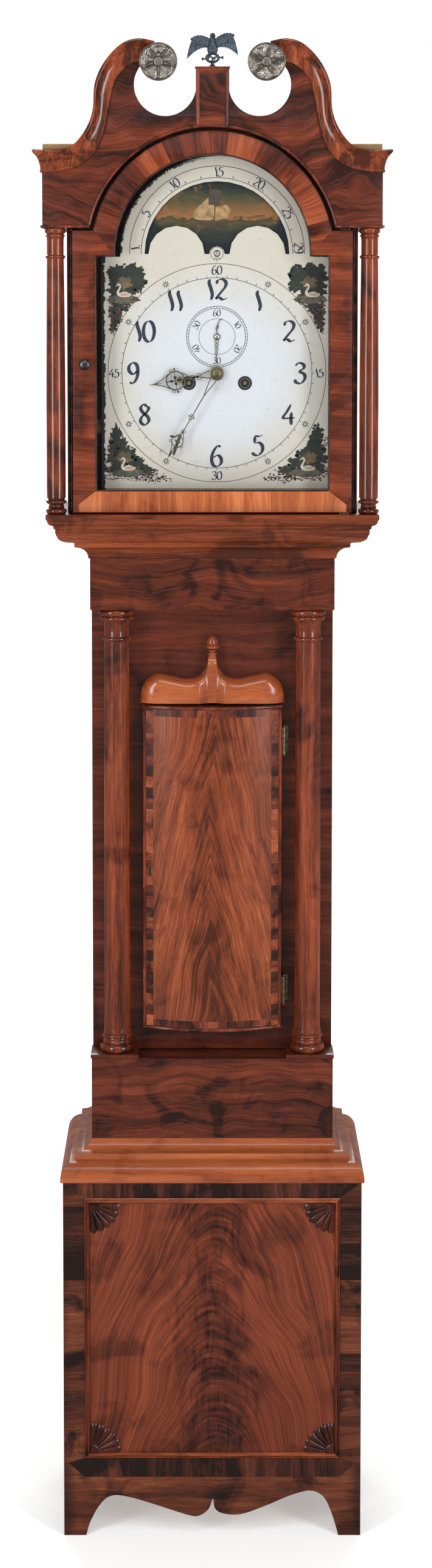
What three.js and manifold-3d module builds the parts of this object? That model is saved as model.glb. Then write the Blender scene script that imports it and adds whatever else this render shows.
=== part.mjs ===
// A longcase clock: mahogany case, sliding hood, painted dial, eight-day movement, pendulum and weights.
// Millimetres, +Z up, the front faces -Y, the feet stand at z = 0.
import * as THREE from 'three';
import { mergeVertices } from 'three/addons/utils/BufferGeometryUtils.js';
import Module from 'manifold-3d';

const wasm = await Module();
wasm.setup();

// ---------- driving dimensions ----------
const gap = 0.3; // between pieces that touch
const rosetteThickness = 7;

// heights, stacked from the floor up
const baseHeight = 558;
const baseMouldHeight = 56.5;
const lowerFriezeHeight = 124.5;
const columnZoneHeight = 696;
const upperFriezeHeight = 79;
const waistMouldHeight = 48.5;
const hoodBaseHeight = 22.5;
const hoodColumnRise = 43; // columns above the door's opening, less the arch
const hoodFriezeHeight = 115; // side frieze of the hood, up to its roof
const neckRise = 162; // top of the swan necks above the hood's side frieze

// widths and depths
const waistWidth = 372;
const weightClearance = 1.5; // between the weights and the waist board
const waistBoardThickness = 17;
const capClearance = 0.7; // between the columns' caps and the waist board
const baseReveal = 43; // base beyond the waist, at each side
const baseProjection = 44; // front of the base beyond the friezes
const baseMouldOutset = 47;
const hoodMouldOutset = 63.4;
const hoodTopOverhang = 66.7; // side of the hood's top beyond the waist
const tympanumProjection = 53; // front of the hood's top beyond the friezes
const neckProjection = 14;

// boards
const boardThickness = 18;
const sideThickness = 14;
const backThickness = 12;
const ledgeThickness = 6;
const footWidth = 34;
const skirtHeight = 93;

// columns
const waistColumnRadius = 20.2;
const waistCapRadius = 27.4;
const plinthBlock = 72;
const plinthBlockHeight = 6.4;
const hoodColumnRadius = 14.2;
const hoodCapRadius = 15.6;

// doors
const waistDoorMargin = 78.5; // from the waist's side to the door
const waistDoorHeadroom = 72; // above the door's dome
const waistDoorRise = 38; // above the ledge
const waistDoorEdge = 16;
const waistDoorBow = 26;
const waistDoorLap = 13.5; // of the door over the board round its opening
const doorPanelThickness = 20;
const domeHeight = 79;
const hoodDoorThickness = 20;
const hoodDoorBand = 35.5; // the door's arch, from inside to outside
const hoodDoorReveal = 23; // hood door beyond the waist, at each side
const hoodDoorRail = 34;

// dial
const dialWidth = 350;
const dialThickness = 2;
const dialDepth = 208; // front of the dial
const dialOffset = 6.9; // the dial stands a little right of the case's centre
const dialArchRadius = (146 / 350) * dialWidth;
const moonWindowRadius = (109 / 350) * dialWidth;
const moonDiscLap = 2.6; // of the moon disc behind the dial, round its window
const humpRadius = (42.3 / 350) * dialWidth;
const humpOffset = (61 / 350) * dialWidth;
const arborHoleRadius = 7.3;

// movement
const plateWidth = 130;
const plateHeight = 170;
const plateThickness = 3;
const frontPlateDepth = 146;
const backPlateDepth = 83;
const barrelOffset = 42.3;
const barrelDrop = 15;
const drumRadius = 22;
const secondsRise = 54.7;
const anchorRise = 84.7;
const pendulumDepth = 55;
const pendulumLength = 994;
const bobRadius = 57;
const bobThickness = 26;
const weightRadius = 29;
const weightHeight = 190;
const weightFloor = 250; // lower end of the weights, nearly run down
const lineDepth = 103; // the lines and the weights, from the back
const lineRadius = 1.2;
const pulleyRadius = 18.8;
const bellRadius = 52;

// ---------- places worked out from them ----------
const boardDepth = lineDepth + weightRadius + weightClearance + waistBoardThickness;
const friezeDepth = boardDepth + 2 * waistCapRadius + capClearance;
const baseDepth = friezeDepth + baseProjection;
const tympanumDepth = friezeDepth + tympanumProjection;
const overallDepth = tympanumDepth + neckProjection + rosetteThickness;
const backY = overallDepth / 2;
const atDepth = (depth) => backY - depth;
const zLowerFrieze = baseHeight + baseMouldHeight;
const zLedge = zLowerFrieze + lowerFriezeHeight;
const zSoffit = zLedge + columnZoneHeight;
const zWaistMould = zSoffit + upperFriezeHeight;
const zHoodBase = zWaistMould + waistMouldHeight + gap;
const zHoodFloor = zHoodBase + hoodBaseHeight;
const zTympanum = zHoodFloor + hoodDoorRail + dialWidth + hoodColumnRise;
const zRoof = zTympanum + hoodFriezeHeight;
const waistHalf = waistWidth / 2;
const baseHalf = waistHalf + baseReveal;
const hoodHalf = waistHalf + hoodTopOverhang;
const zDialCentre = zHoodFloor + hoodDoorRail + dialWidth / 2 + 1;
const zDialTop = zDialCentre + dialWidth / 2;
const zArch = zDialTop + 5;
const doorOpeningHalf = dialWidth / 2 - 1.5;
const hoodDoorHalf = waistHalf + hoodDoorReveal;
const doorArchRadius = dialArchRadius - 0.7;
const doorArchOuter = doorArchRadius + hoodDoorBand;
const tympanumArch = doorArchOuter + 5.3;
const hoodSideInner = hoodDoorHalf - 3;
const hoodSideOuter = hoodSideInner + backThickness;
const hoodColumnX = hoodHalf - hoodCapRadius - 3;
const hoodColumnDepth = tympanumDepth - hoodCapRadius + 5.6;
const waistColumnX = waistHalf - 39;
const waistColumnDepth = friezeDepth - waistCapRadius;
const waistDoorWidth = waistWidth - 2 * waistDoorMargin;
const waistDoorOpening = waistDoorWidth - 2 * waistDoorLap;
const waistDoorHeight = columnZoneHeight - waistDoorRise - domeHeight - waistDoorHeadroom;
const zWaistDoor = zLedge + waistDoorRise;
const zWaistDoorTop = zWaistDoor + waistDoorHeight;
const zSeat = zDialCentre - 72.5;
const barrelX = (side) => dialOffset + side * barrelOffset;
// a line leaves its barrel on the left, so that both wind clockwise
const lineReach = drumRadius + lineRadius + gap;
const lineBend = pulleyRadius + lineRadius + gap;

const TAU = Math.PI * 2;
const clock = new THREE.Group();

// ---------- building helpers ----------
function finish(colour, roughness, metalness) {
  return () => new THREE.MeshStandardMaterial({ color: colour, roughness, metalness });
}

const mahogany = finish(0x6b2f1c, 0.35, 0);
const darkMahogany = finish(0x43190f, 0.38, 0);
const lightMahogany = finish(0x9a4f2b, 0.32, 0);
const pine = finish(0x8a6a45, 0.8, 0);
const brass = finish(0xb08d4a, 0.35, 1);
const oldBronze = finish(0x3f4650, 0.5, 0.9);
const steel = finish(0x6d7178, 0.35, 1);
const paintedIron = finish(0xe6e6da, 0.45, 0);
const moonPaint = finish(0x17313a, 0.4, 0);
const clearGlass = finish(0xdfe8ea, 0.05, 0);
const leadCasting = finish(0x54565a, 0.6, 0.6);
const gut = finish(0xc9a869, 0.6, 0);

function add(name, geometry, material) {
  const mesh = new THREE.Mesh(geometry, material());
  mesh.name = name;
  clock.add(mesh);
  return mesh;
}

function solid(geometry) {
  const bare = geometry.index ? geometry.toNonIndexed() : geometry.clone();
  bare.deleteAttribute('normal');
  bare.deleteAttribute('uv');
  const merged = mergeVertices(bare, 1e-4);
  return new wasm.Manifold(new wasm.Mesh({
    numProp: 3,
    vertProperties: merged.getAttribute('position').array,
    triVerts: new Uint32Array(merged.index.array),
  }));
}

function geometryOf(manifold) {
  const mesh = manifold.getMesh();
  const geometry = new THREE.BufferGeometry();
  geometry.setAttribute('position', new THREE.BufferAttribute(new Float32Array(mesh.vertProperties), 3));
  geometry.setIndex(new THREE.BufferAttribute(new Uint32Array(mesh.triVerts), 1));
  return geometry.toNonIndexed();
}

const join = (...pieces) => geometryOf(pieces.map(solid).reduce((whole, piece) => whole.add(piece)));
const cut = (piece, ...tools) => geometryOf(tools.map(solid).reduce((whole,
  tool) => whole.subtract(tool), solid(piece)));

function block(x0, x1, depth0, depth1, z0, z1) {
  const geometry = new THREE.BoxGeometry(x1 - x0, depth1 - depth0, z1 - z0);
  return geometry.translate((x0 + x1) / 2, atDepth((depth0 + depth1) / 2), (z0 + z1) / 2);
}

function outline(points) {
  return new THREE.Shape(points.map(([u, v]) => new THREE.Vector2(u, v)));
}

// A front outline in x and z, from one depth to another.
function frontBoard(shape, depth0, depth1, segments = 12) {
  const geometry = new THREE.ExtrudeGeometry(shape, {
    depth: depth1 - depth0, bevelEnabled: false, curveSegments: segments,
  });
  return geometry.rotateX(Math.PI / 2).translate(0, atDepth(depth0), 0);
}

// A side outline in depth and z, from one x to another.
function sideBoard(points, x0, x1) {
  const shape = outline(points.map(([depth, z]) => [atDepth(depth), z]));
  const geometry = new THREE.ExtrudeGeometry(shape, { depth: x1 - x0, bevelEnabled: false });
  const turn = new THREE.Matrix4().makeBasis(
    new THREE.Vector3(0, 1, 0), new THREE.Vector3(0, 0, 1), new THREE.Vector3(1, 0, 0),
  );
  return geometry.applyMatrix4(turn).translate(x0, 0, 0);
}

// A plan outline in x and y, from one height to another.
function planBoard(shape, z0, z1) {
  return new THREE.ExtrudeGeometry(shape, { depth: z1 - z0, bevelEnabled: false, curveSegments: 16 })
    .translate(0, 0, z0);
}

// A turned piece on a vertical axis; its profile is a list of radius and height.
function turned(profile, x, depth, segments = 12) {
  const points = profile.map(([radius, z]) => new THREE.Vector2(radius, z));
  return new THREE.LatheGeometry(points, segments).rotateX(Math.PI / 2).translate(x, atDepth(depth), 0);
}

// A turned piece on a front-to-back axis; its profile is a list of radius and depth.
function turnedForward(profile, x, z, segments = 20) {
  const points = profile.map(([radius, depth]) => new THREE.Vector2(radius, depth));
  return new THREE.LatheGeometry(points, segments).rotateX(Math.PI).translate(x, backY, z);
}

// A round bar along the depth.
function arbor(radius, depth0, depth1, x, z, segments = 8) {
  return turnedForward([[0, depth0], [radius, depth0], [radius, depth1], [0, depth1]], x, z, segments);
}

const mirrored = (geometry) => {
  const flipped = geometry.index ? geometry.toNonIndexed() : geometry.clone();
  const position = flipped.getAttribute('position');
  for (let i = 0; i < position.count; i += 3) {
    const corners = [2, 1, 0].map((k) => [position.getX(i + k), position.getY(i + k),
      position.getZ(i + k)]);
    corners.forEach(([x, y, z], k) => position.setXYZ(i + k, -x, y, z));
  }
  return flipped;
};

// Rings of the same number of points, skinned in order and closed at both ends.
function skin(rings, capShape) {
  const count = rings[0].length;
  const vertices = rings.flat(2);
  const faces = [];
  for (let ring = 0; ring + 1 < rings.length; ring += 1) {
    for (let k = 0; k < count; k += 1) {
      const next = (k + 1) % count;
      const a = ring * count + k;
      const b = ring * count + next;
      faces.push(a, b, b + count, a, b + count, a + count);
    }
  }
  const last = (rings.length - 1) * count;
  const caps = THREE.ShapeUtils.triangulateShape(capShape.map(([u, v]) => new THREE.Vector2(u, v)), []);
  caps.forEach(([a, b, c]) => faces.push(a, c, b, last + a, last + b, last + c));
  const geometry = new THREE.BufferGeometry();
  geometry.setAttribute('position', new THREE.Float32BufferAttribute(vertices, 3));
  geometry.setIndex(faces);
  const whole = solid(geometry);
  if (whole.volume() > 0) return geometry.toNonIndexed();
  const reversed = [];
  for (let i = 0; i < faces.length; i += 3) reversed.push(faces[i], faces[i + 2], faces[i + 1]);
  return geometry.setIndex(reversed).toNonIndexed();
}

// A moulding run along the left side, the front and the right side, mitred at both corners.
// Its profile is a closed list of outset and height.
function wrapMoulding(profile, half, depth) {
  const stations = [
    (outset, z) => [-half - outset, backY, z],
    (outset, z) => [-half - outset, atDepth(depth + outset), z],
    (outset, z) => [half + outset, atDepth(depth + outset), z],
    (outset, z) => [half + outset, backY, z],
  ];
  return skin(stations.map((place) => profile.map(([outset, z]) => place(outset, z))), profile);
}

// Points of a quarter-round or cove between two corners, by angle.
function arcPoints(centreU, centreV, radiusU, radiusV, from, to, steps) {
  return Array.from({ length: steps + 1 }, (_, i) => {
    const angle = from + ((to - from) * i) / steps;
    return [centreU + radiusU * Math.cos(angle), centreV + radiusV * Math.sin(angle)];
  });
}

// ---------- base ----------
const skirtHalf = baseHalf - footWidth;
const skirtCurve = new THREE.SplineCurve([
  [1, 0], [0.985, 0.12], [0.96, 0.32], [0.92, 0.55], [0.85, 0.8], [0.76, 0.94], [0.66, 0.9],
  [0.53, 0.77], [0.4, 0.62], [0.26, 0.47], [0.14, 0.43], [0.06, 0.48], [0.02, 0.6], [0.006, 0.78],
].map(([u, v]) => new THREE.Vector2(u * skirtHalf, v * 0.78 * skirtHeight)));

function baseFront() {
  const edge = skirtCurve.getPoints(26).map((p) => [p.x, Math.max(p.y, 0)]);
  const left = edge.map(([x, z]) => [-x, z]);
  const right = edge.slice().reverse();
  return frontBoard(
    outline([[-baseHalf, 0], ...left, ...right, [baseHalf, 0], [baseHalf, baseHeight],
      [-baseHalf, baseHeight]]),
    baseDepth - boardThickness, baseDepth,
  );
}
add('base_front', baseFront(), mahogany);

const baseSideFront = baseDepth - boardThickness - gap;
const sideFootTop = skirtHeight * 0.65;
function baseSide(x0) {
  const arch = arcPoints(baseSideFront / 2, 0, baseSideFront / 2 - footWidth, sideFootTop, 0, Math.PI, 8);
  return sideBoard(
    [[0, 0], ...arch.slice().reverse(), [baseSideFront, 0], [baseSideFront, baseHeight], [0, baseHeight]],
    x0, x0 + sideThickness,
  );
}
add('base_side_left', baseSide(-baseHalf), darkMahogany);
add('base_side_right', baseSide(baseHalf - sideThickness), darkMahogany);

const baseInner = baseHalf - sideThickness - gap;
const zFloorBoard = skirtHeight + boardThickness;
add('base_floor', block(-baseInner, baseInner, backThickness + gap, baseDepth - boardThickness - gap,
  zFloorBoard, zFloorBoard + backThickness), pine);

const waistInner = waistHalf - sideThickness - gap;
const hoodBackHalf = hoodSideInner - gap; // wider inside the hood, so that its back is closed
const hoodBackFoot = zHoodFloor + gap;
add('back_board', frontBoard(outline([
  [-baseInner, sideFootTop], [baseInner, sideFootTop], [baseInner, baseHeight - gap],
  [waistInner, baseHeight - gap], [waistInner, hoodBackFoot], [hoodBackHalf, hoodBackFoot],
  [hoodBackHalf, zRoof - gap], [-hoodBackHalf, zRoof - gap], [-hoodBackHalf, hoodBackFoot],
  [-waistInner, hoodBackFoot], [-waistInner, baseHeight - gap], [-baseInner, baseHeight - gap],
]), 0, backThickness), pine);

const ovoloHeight = 24;
const ovoloOutset = 25;
const filletHeight = 9.5;
const coveOutset = 21;
const baseMouldProfile = [
  [gap, baseHeight + gap],
  [baseMouldOutset, baseHeight + gap],
  ...arcPoints(ovoloOutset, baseHeight + 6, baseMouldOutset - ovoloOutset, ovoloHeight, 0, Math.PI / 2, 5),
  [ovoloOutset, zLowerFrieze - baseMouldHeight + 6 + ovoloHeight + filletHeight],
  [coveOutset, zLowerFrieze - baseMouldHeight + 6 + ovoloHeight + filletHeight],
  ...arcPoints(coveOutset, zLowerFrieze, coveOutset - 1, baseMouldHeight - 6 - ovoloHeight - filletHeight,
    -Math.PI / 2, -Math.PI, 4).slice(1),
  [gap, zLowerFrieze],
];
add('base_moulding', wrapMoulding(baseMouldProfile, waistHalf, friezeDepth), lightMahogany);

const beadWidth = 8;
const beadProud = 4;
const panelHalf = baseHalf - 33;
const panelBottom = skirtHeight + 31.5;
const panelTop = baseHeight - 23.5;
const fanRadius = 47;

function quarterFan(cornerX, cornerZ, turnX, turnZ) {
  const petals = 6;
  const rim = Array.from({ length: petals * 4 + 1 }, (_, i) => {
    const angle = (Math.PI / 2) * (i / (petals * 4));
    const radius = fanRadius - 3.2 * Math.abs(Math.cos((petals * Math.PI * i) / (petals * 4)));
    return [cornerX + turnX * radius * Math.cos(angle), cornerZ + turnZ * radius * Math.sin(angle)];
  });
  const tuck = -0.5;
  const corner = [cornerX + turnX * tuck, cornerZ + turnZ * tuck];
  return frontBoard(outline([corner, ...rim]), baseDepth + gap, baseDepth + gap + 3);
}

function panelFrame() {
  const frame = outline([[-panelHalf, panelBottom], [panelHalf, panelBottom], [panelHalf, panelTop],
    [-panelHalf, panelTop]]);
  const innerHalf = panelHalf - beadWidth;
  const low = panelBottom + beadWidth;
  const high = panelTop - beadWidth;
  frame.holes.push(outline([[-innerHalf, low], [-innerHalf, high], [innerHalf, high], [innerHalf, low]]));
  return join(
    frontBoard(frame, baseDepth + gap, baseDepth + gap + beadProud),
    quarterFan(-innerHalf, high, 1, -1), quarterFan(innerHalf, high, -1, -1),
    quarterFan(-innerHalf, low, 1, 1), quarterFan(innerHalf, low, -1, 1),
  );
}
add('base_panel_frame', panelFrame(), darkMahogany);

// ---------- waist ----------
const friezeBack = friezeDepth - boardThickness;
const boardBack = boardDepth - waistBoardThickness;
const zSideFoot = baseHeight - 38;
const sideMargin = gap * 2;

add('lower_frieze', sideBoard([
  [friezeBack, zSideFoot], [friezeDepth, zSideFoot], [friezeDepth, zLedge],
  [boardBack, zLedge], [boardBack, zLedge - ledgeThickness], [friezeBack, zLedge - ledgeThickness],
], -waistHalf, waistHalf), mahogany);

add('upper_frieze', sideBoard([
  [boardBack, zSoffit], [friezeDepth, zSoffit], [friezeDepth, zHoodBase - gap * 2], [friezeBack,
    zHoodBase - gap * 2],
  [friezeBack, zSoffit + ledgeThickness], [boardBack, zSoffit + ledgeThickness],
], -waistHalf, waistHalf), mahogany);

function waistBoard() {
  const halfOpening = waistDoorOpening / 2;
  const board = outline([[-waistHalf, zLedge + gap], [waistHalf, zLedge + gap], [waistHalf, zSoffit - gap],
    [-waistHalf, zSoffit - gap]]);
  const low = zWaistDoor + 14;
  const high = zWaistDoorTop - 14;
  board.holes.push(outline([[-halfOpening, low], [-halfOpening, high], [halfOpening, high],
    [halfOpening, low]]));
  return frontBoard(board, boardBack, boardDepth);
}
add('waist_board', waistBoard(), mahogany);

const sideFront = friezeBack - gap;
const sideRecessed = boardBack - gap;
const seatThickness = 20;
const zCheek = zSeat - seatThickness - gap;
const cheekBack = 90;
const waistSideOutline = [
  [0, baseHeight + gap], [backThickness + gap, baseHeight + gap], [backThickness + gap,
    zSideFoot], [sideFront, zSideFoot], [sideFront, zLedge - ledgeThickness - sideMargin],
  [sideRecessed, zLedge - ledgeThickness - sideMargin], [sideRecessed,
    zSoffit + ledgeThickness + sideMargin],
  [sideFront, zSoffit + ledgeThickness + sideMargin], [sideFront, zCheek], [cheekBack, zCheek],
  [cheekBack, zHoodBase], [0, zHoodBase],
];
add('waist_side_left', sideBoard(waistSideOutline, -waistHalf, -waistHalf + sideThickness), darkMahogany);
add('waist_side_right', sideBoard(waistSideOutline, waistHalf - sideThickness, waistHalf), darkMahogany);

function waistColumn(side) {
  const x = side * waistColumnX;
  const foot = zLedge + plinthBlockHeight;
  const top = zSoffit - gap;
  const shaft = waistColumnRadius;
  const cap = waistCapRadius;
  const column = turned([
    [0, foot - 1], [cap - 3, foot - 1], ...arcPoints(cap - 6.4, foot + 7, 6, 7, -Math.PI / 2,
      Math.PI / 2, 4),
    [shaft + 1.6, foot + 16], [shaft + 2.4, foot + 22], [shaft + 3.6, foot + 24], [shaft + 3.6, foot + 35],
    [shaft + 0.6, foot + 38], [shaft, foot + 300], [shaft - 0.8, top - 52], [shaft + 2, top - 50],
    [shaft + 2, top - 42], [shaft - 0.6, top - 40], [shaft - 0.6, top - 26], [cap - 3, top - 18],
    [cap - 1.5, top - 17.5], [cap - 1.5, top - 11], [cap - 3, top - 9.5], [cap, top - 8.5], [cap, top - 3],
    [cap - 3, top], [0, top],
  ], x, waistColumnDepth);
  const near = waistHalf - plinthBlock;
  const plinth = block(side > 0 ? near : -waistHalf, side > 0 ? waistHalf : -near,
    boardDepth + gap, friezeDepth, zLedge + gap, foot);
  return join(plinth, column);
}
add('waist_column_left', waistColumn(-1), mahogany);
add('waist_column_right', waistColumn(1), mahogany);

// The dome over the door: slices across its width, each as high as its onion outline and round at the
// front.
function doorDome() {
  const half = waistDoorWidth / 2 + 4;
  const z = zWaistDoorTop + 2.5;
  const tall = domeHeight / 79;
  const thickness = 30;
  const curve = new THREE.SplineCurve([
    [half, 12], [half - 3, 25], [half - 9, 34], [half - 26, 45], [half - 48, 42], [half - 72, 37.5],
    [22, 41], [11, 52], [7.5, 64], [6, 75],
  ].map(([x, dz]) => new THREE.Vector2(x, dz * tall)));
  const right = curve.getPoints(13).map((p) => [p.x, p.y]);
  const stations = [...right, ...right.slice().reverse().map(([x, high]) => [-x, high])];
  const rings = stations.map(([x, high]) => {
    const fullness = Math.sqrt(1 - 0.72 * Math.abs(x / half) ** 8);
    const neckSlimming = 1 - 0.42 * Math.max(0, 1 - Math.abs(x) / 18);
    const front = thickness * fullness * neckSlimming;
    const round = Math.min(13, high * 0.45, front * 0.6);
    return [
      [0, 0], [front - 3, 0], [front, 3],
      ...arcPoints(front - round, high - round, round, round, 0, Math.PI / 2, 3), [0, high],
    ].map(([proud, dz]) => [x, atDepth(boardDepth + gap + proud), z + dz]);
  });
  const section = rings[7].map(([, y, height]) => [-y, height]);
  const neckTop = z + domeHeight;
  const acorn = turned([
    [0, neckTop - 12], [6.6, neckTop - 12], [6.6, neckTop - 4], [8, neckTop - 2], [8, neckTop + 2], [5,
      neckTop + 4],
    [10.4, neckTop + 7], [10.8, neckTop + 12], [8.4, neckTop + 13], [8, neckTop + 18], [5, neckTop + 24],
    [1.5, neckTop + 26.6], [0, neckTop + 27],
  ], 0, boardDepth + 12, 14);
  return join(skin(rings, section), acorn);
}
add('door_dome', doorDome(), lightMahogany);

// the moulding under the hood, in two pieces: the lower one belongs to the waist, the upper one to the hood
const seatLip = 49;
add('waist_moulding', wrapMoulding([
  [gap, zWaistMould + gap], [1.5, zWaistMould + gap],
  ...arcPoints(22.5, zWaistMould + 1, 20, 17.6, Math.PI, Math.PI / 2, 4).slice(1),
  [22.5, zWaistMould + 25], [25.5, zWaistMould + 26],
  ...arcPoints(25.5, zWaistMould + 38.5, seatLip - 27, 12, -Math.PI / 2, 0, 4),
  [seatLip, zWaistMould + 41], [seatLip + 1, waistMouldHeight + zWaistMould], [gap,
    waistMouldHeight + zWaistMould],
], waistHalf, friezeDepth), lightMahogany);

add('seat_board', cut(
  block(-waistHalf, waistHalf, pendulumDepth + 18, friezeBack, zSeat - seatThickness, zSeat),
  ...[-1, 1].flatMap((side) => [0, 1].map((fall) => new THREE.CylinderGeometry(5, 5, seatThickness * 2, 10)
    .rotateX(Math.PI / 2)
    .translate(barrelX(side) - lineReach + fall * 2 * lineBend, atDepth(lineDepth),
      zSeat - seatThickness / 2))),
), pine);

// ---------- waist door ----------
const doorHalf = waistDoorWidth / 2;
const doorBack = boardDepth + gap;
const doorEdgeDepth = doorBack + waistDoorEdge;

function bowArc(half, edgeDepth, bow, from, steps) {
  const radius = (half * half + bow * bow) / (2 * bow);
  const spread = Math.asin(half / radius);
  return Array.from({ length: steps + 1 }, (_, i) => {
    const angle = from * spread * (1 - (2 * i) / steps);
    return [radius * Math.sin(angle), atDepth(edgeDepth + bow - radius * (1 - Math.cos(angle)))];
  });
}

function waistDoor() {
  const innerHalf = doorHalf - 18;
  const front = bowArc(doorHalf, doorEdgeDepth, waistDoorBow, -1, 14);
  const inside = bowArc(innerHalf, doorBack,
    doorEdgeDepth + waistDoorBow - doorPanelThickness - doorBack, 1, 10);
  const plan = outline([[-doorHalf, atDepth(doorBack)], ...front, [doorHalf, atDepth(doorBack)],
    ...inside]);
  return planBoard(plan, zWaistDoor, zWaistDoorTop);
}
add('waist_door', waistDoor(), lightMahogany);

const boltZ = zWaistDoor + 249;
const boltTip = doorHalf - 16.5;
add('lock_bolt', block(-boltTip, -boltTip + 26, boardBack - 5, boardBack - 1, boltZ, boltZ + 10), steel);

const hingeLength = 42;
const hingeX = doorHalf + 4;
const hingeDepth = doorEdgeDepth;
function buttHinge(z) {
  const knuckles = turned([[0, z - 3], [1.4, z - 2.4], [1.4, z - 0.6], [2.2, z], [2.2, z + hingeLength],
    [1.4, z + hingeLength + 0.6], [1.4, z + hingeLength + 2.4], [0,
      z + hingeLength + 3]], hingeX, hingeDepth, 10);
  return join(block(doorHalf + gap, doorHalf + 1.8, doorBack + 1, hingeDepth, z + 0.5,
    z + hingeLength - 0.5),
    block(doorHalf + 1, hingeX, hingeDepth - 1.4, hingeDepth + 0.1, z + 0.5,
      z + hingeLength - 0.5), knuckles);
}
add('hinge_upper', buttHinge(zWaistDoorTop - 77), brass);
add('hinge_lower', buttHinge(zWaistDoor + 39), brass);

// ---------- hood ----------
const hoodClearance = 2.3;
const zHoodTopMould = zHoodBase + hoodBaseHeight;
add('hood_base', wrapMoulding([
  [hoodClearance, zHoodBase], [51.5, zHoodBase], [53, zHoodBase + 4.5],
  ...arcPoints(hoodMouldOutset - 10, zHoodBase + 13.5, 8, 8, -Math.PI / 2, 0, 3),
  [hoodMouldOutset, zHoodBase + 16], [hoodMouldOutset, zHoodTopMould - 1], [hoodMouldOutset - 1,
    zHoodTopMould],
  [hoodClearance, zHoodTopMould],
], waistHalf, friezeDepth), lightMahogany);

const maskFront = tympanumDepth - 9 - hoodDoorThickness - 3;
const maskBack = maskFront - 10;
const friezeSideInner = hoodHalf - backThickness;
const soffitThickness = 8;
const tympanumBack = tympanumDepth - 14;
function hoodSide() {
  const low = zHoodFloor + gap;
  const lowerBoard = block(hoodSideInner, hoodSideOuter, 0, maskBack - gap, low,
    zTympanum + soffitThickness);
  const soffit = block(hoodSideInner, hoodHalf, 0, tympanumBack - gap, zTympanum,
    zTympanum + soffitThickness);
  const frieze = block(friezeSideInner, hoodHalf, 0, tympanumBack - gap, zTympanum, zRoof);
  return join(lowerBoard, soffit, frieze);
}
add('hood_side_right', hoodSide(), darkMahogany);
add('hood_side_left', mirrored(hoodSide()), darkMahogany);

// the frame that the hood's door closes against, with its own arch round the dial
const maskArch = doorArchOuter + 10;
function hoodFrontFrame() {
  const inner = hoodSideInner - gap;
  const reach = Math.sqrt(maskArch ** 2 - (zRoof - zArch) ** 2);
  const from = Math.atan2(zRoof - zArch, reach);
  const low = zHoodFloor + gap;
  const frame = outline([
    [-hoodSideOuter, low], [hoodSideOuter, low], [hoodSideOuter, zTympanum - gap], [inner, zTympanum - gap],
    [inner, zRoof], ...arcPoints(0, zArch, maskArch, maskArch, from, Math.PI - from, 14),
    [-inner, zRoof], [-inner, zTympanum - gap], [-hoodSideOuter, zTympanum - gap],
  ]);
  frame.holes.push(outline(archOutline(dialWidth / 2 + 11, low + 26, zDialTop + 2, dialArchRadius + 12)));
  return frontBoard(frame, maskBack, maskFront);
}

function hoodRoof() {
  const front = atDepth(tympanumBack - gap);
  const notchFront = atDepth(maskBack - gap);
  const notch = Math.sqrt(maskArch ** 2 - (zRoof - zArch) ** 2) + 3;
  return planBoard(outline([
    [-hoodHalf, backY], [-hoodHalf, front], [-notch, front], [-notch, notchFront], [notch, notchFront],
    [notch, front], [hoodHalf, front], [hoodHalf, backY],
  ]), zRoof + gap, zRoof + gap + 9);
}
add('hood_roof', hoodRoof(), pine);

// the swan necks are drawn for a hood this wide and follow its real width
const drawnHalf = 252.7;
const spread = (x) => (x * hoodHalf) / drawnHalf;
const drawnRise = 277;
const lift = (z) => zTympanum + (z * (hoodFriezeHeight + neckRise)) / drawnRise;
const mouldHeight = 33;
const neckOuter = [
  [231, 113.5], [207, 121], [187.7, 144], [177, 172], [173.5, 212], [158.7, 244], [134.5, 269], [110,
    277], [85, 273],
];
const neckInner = [
  [236, 82], [204, 89], [176, 109], [160.5, 141], [151.5, 188], [143, 219], [122.3, 239.8], [105,
    243.5], [88, 244],
];
const rosetteX = spread(79.7);
const rosetteZ = lift(243);
const rosetteRadius = 28;
const notchX = spread(70);
const notchZ = lift(210.6);
const notchRadius = 46;

function tympanum() {
  const top = new THREE.SplineCurve(neckOuter.map(([x, z]) => new THREE.Vector2(spread(x) - 2,
    lift(z) - 3)))
    .getPoints(22).map((p) => [p.x, p.y]);
  const notchEnd = 0.62;
  const notch = arcPoints(notchX, notchZ, notchRadius, notchRadius, Math.PI, TAU + notchEnd, 16);
  const halfCut = Math.sqrt(tympanumArch ** 2 - (zTympanum + gap - zArch) ** 2);
  const archAngle = Math.atan2(zTympanum + gap - zArch, halfCut);
  const arch = arcPoints(0, zArch, tympanumArch, tympanumArch, archAngle, Math.PI / 2, 14);
  const neckTop = lift(236);
  const half = [
    ...arch.slice().reverse(), [hoodHalf, zTympanum + gap], [hoodHalf, lift(113)], ...top,
    [rosetteX + 6, rosetteZ - 4], ...notch.slice().reverse(), [notchX - notchRadius, neckTop],
  ];
  const other = half.slice(1).reverse().map(([x, z]) => [-x, z]);
  return frontBoard(outline([...half, ...other]), tympanumBack, tympanumDepth);
}
add('tympanum', tympanum(), mahogany);

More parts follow.
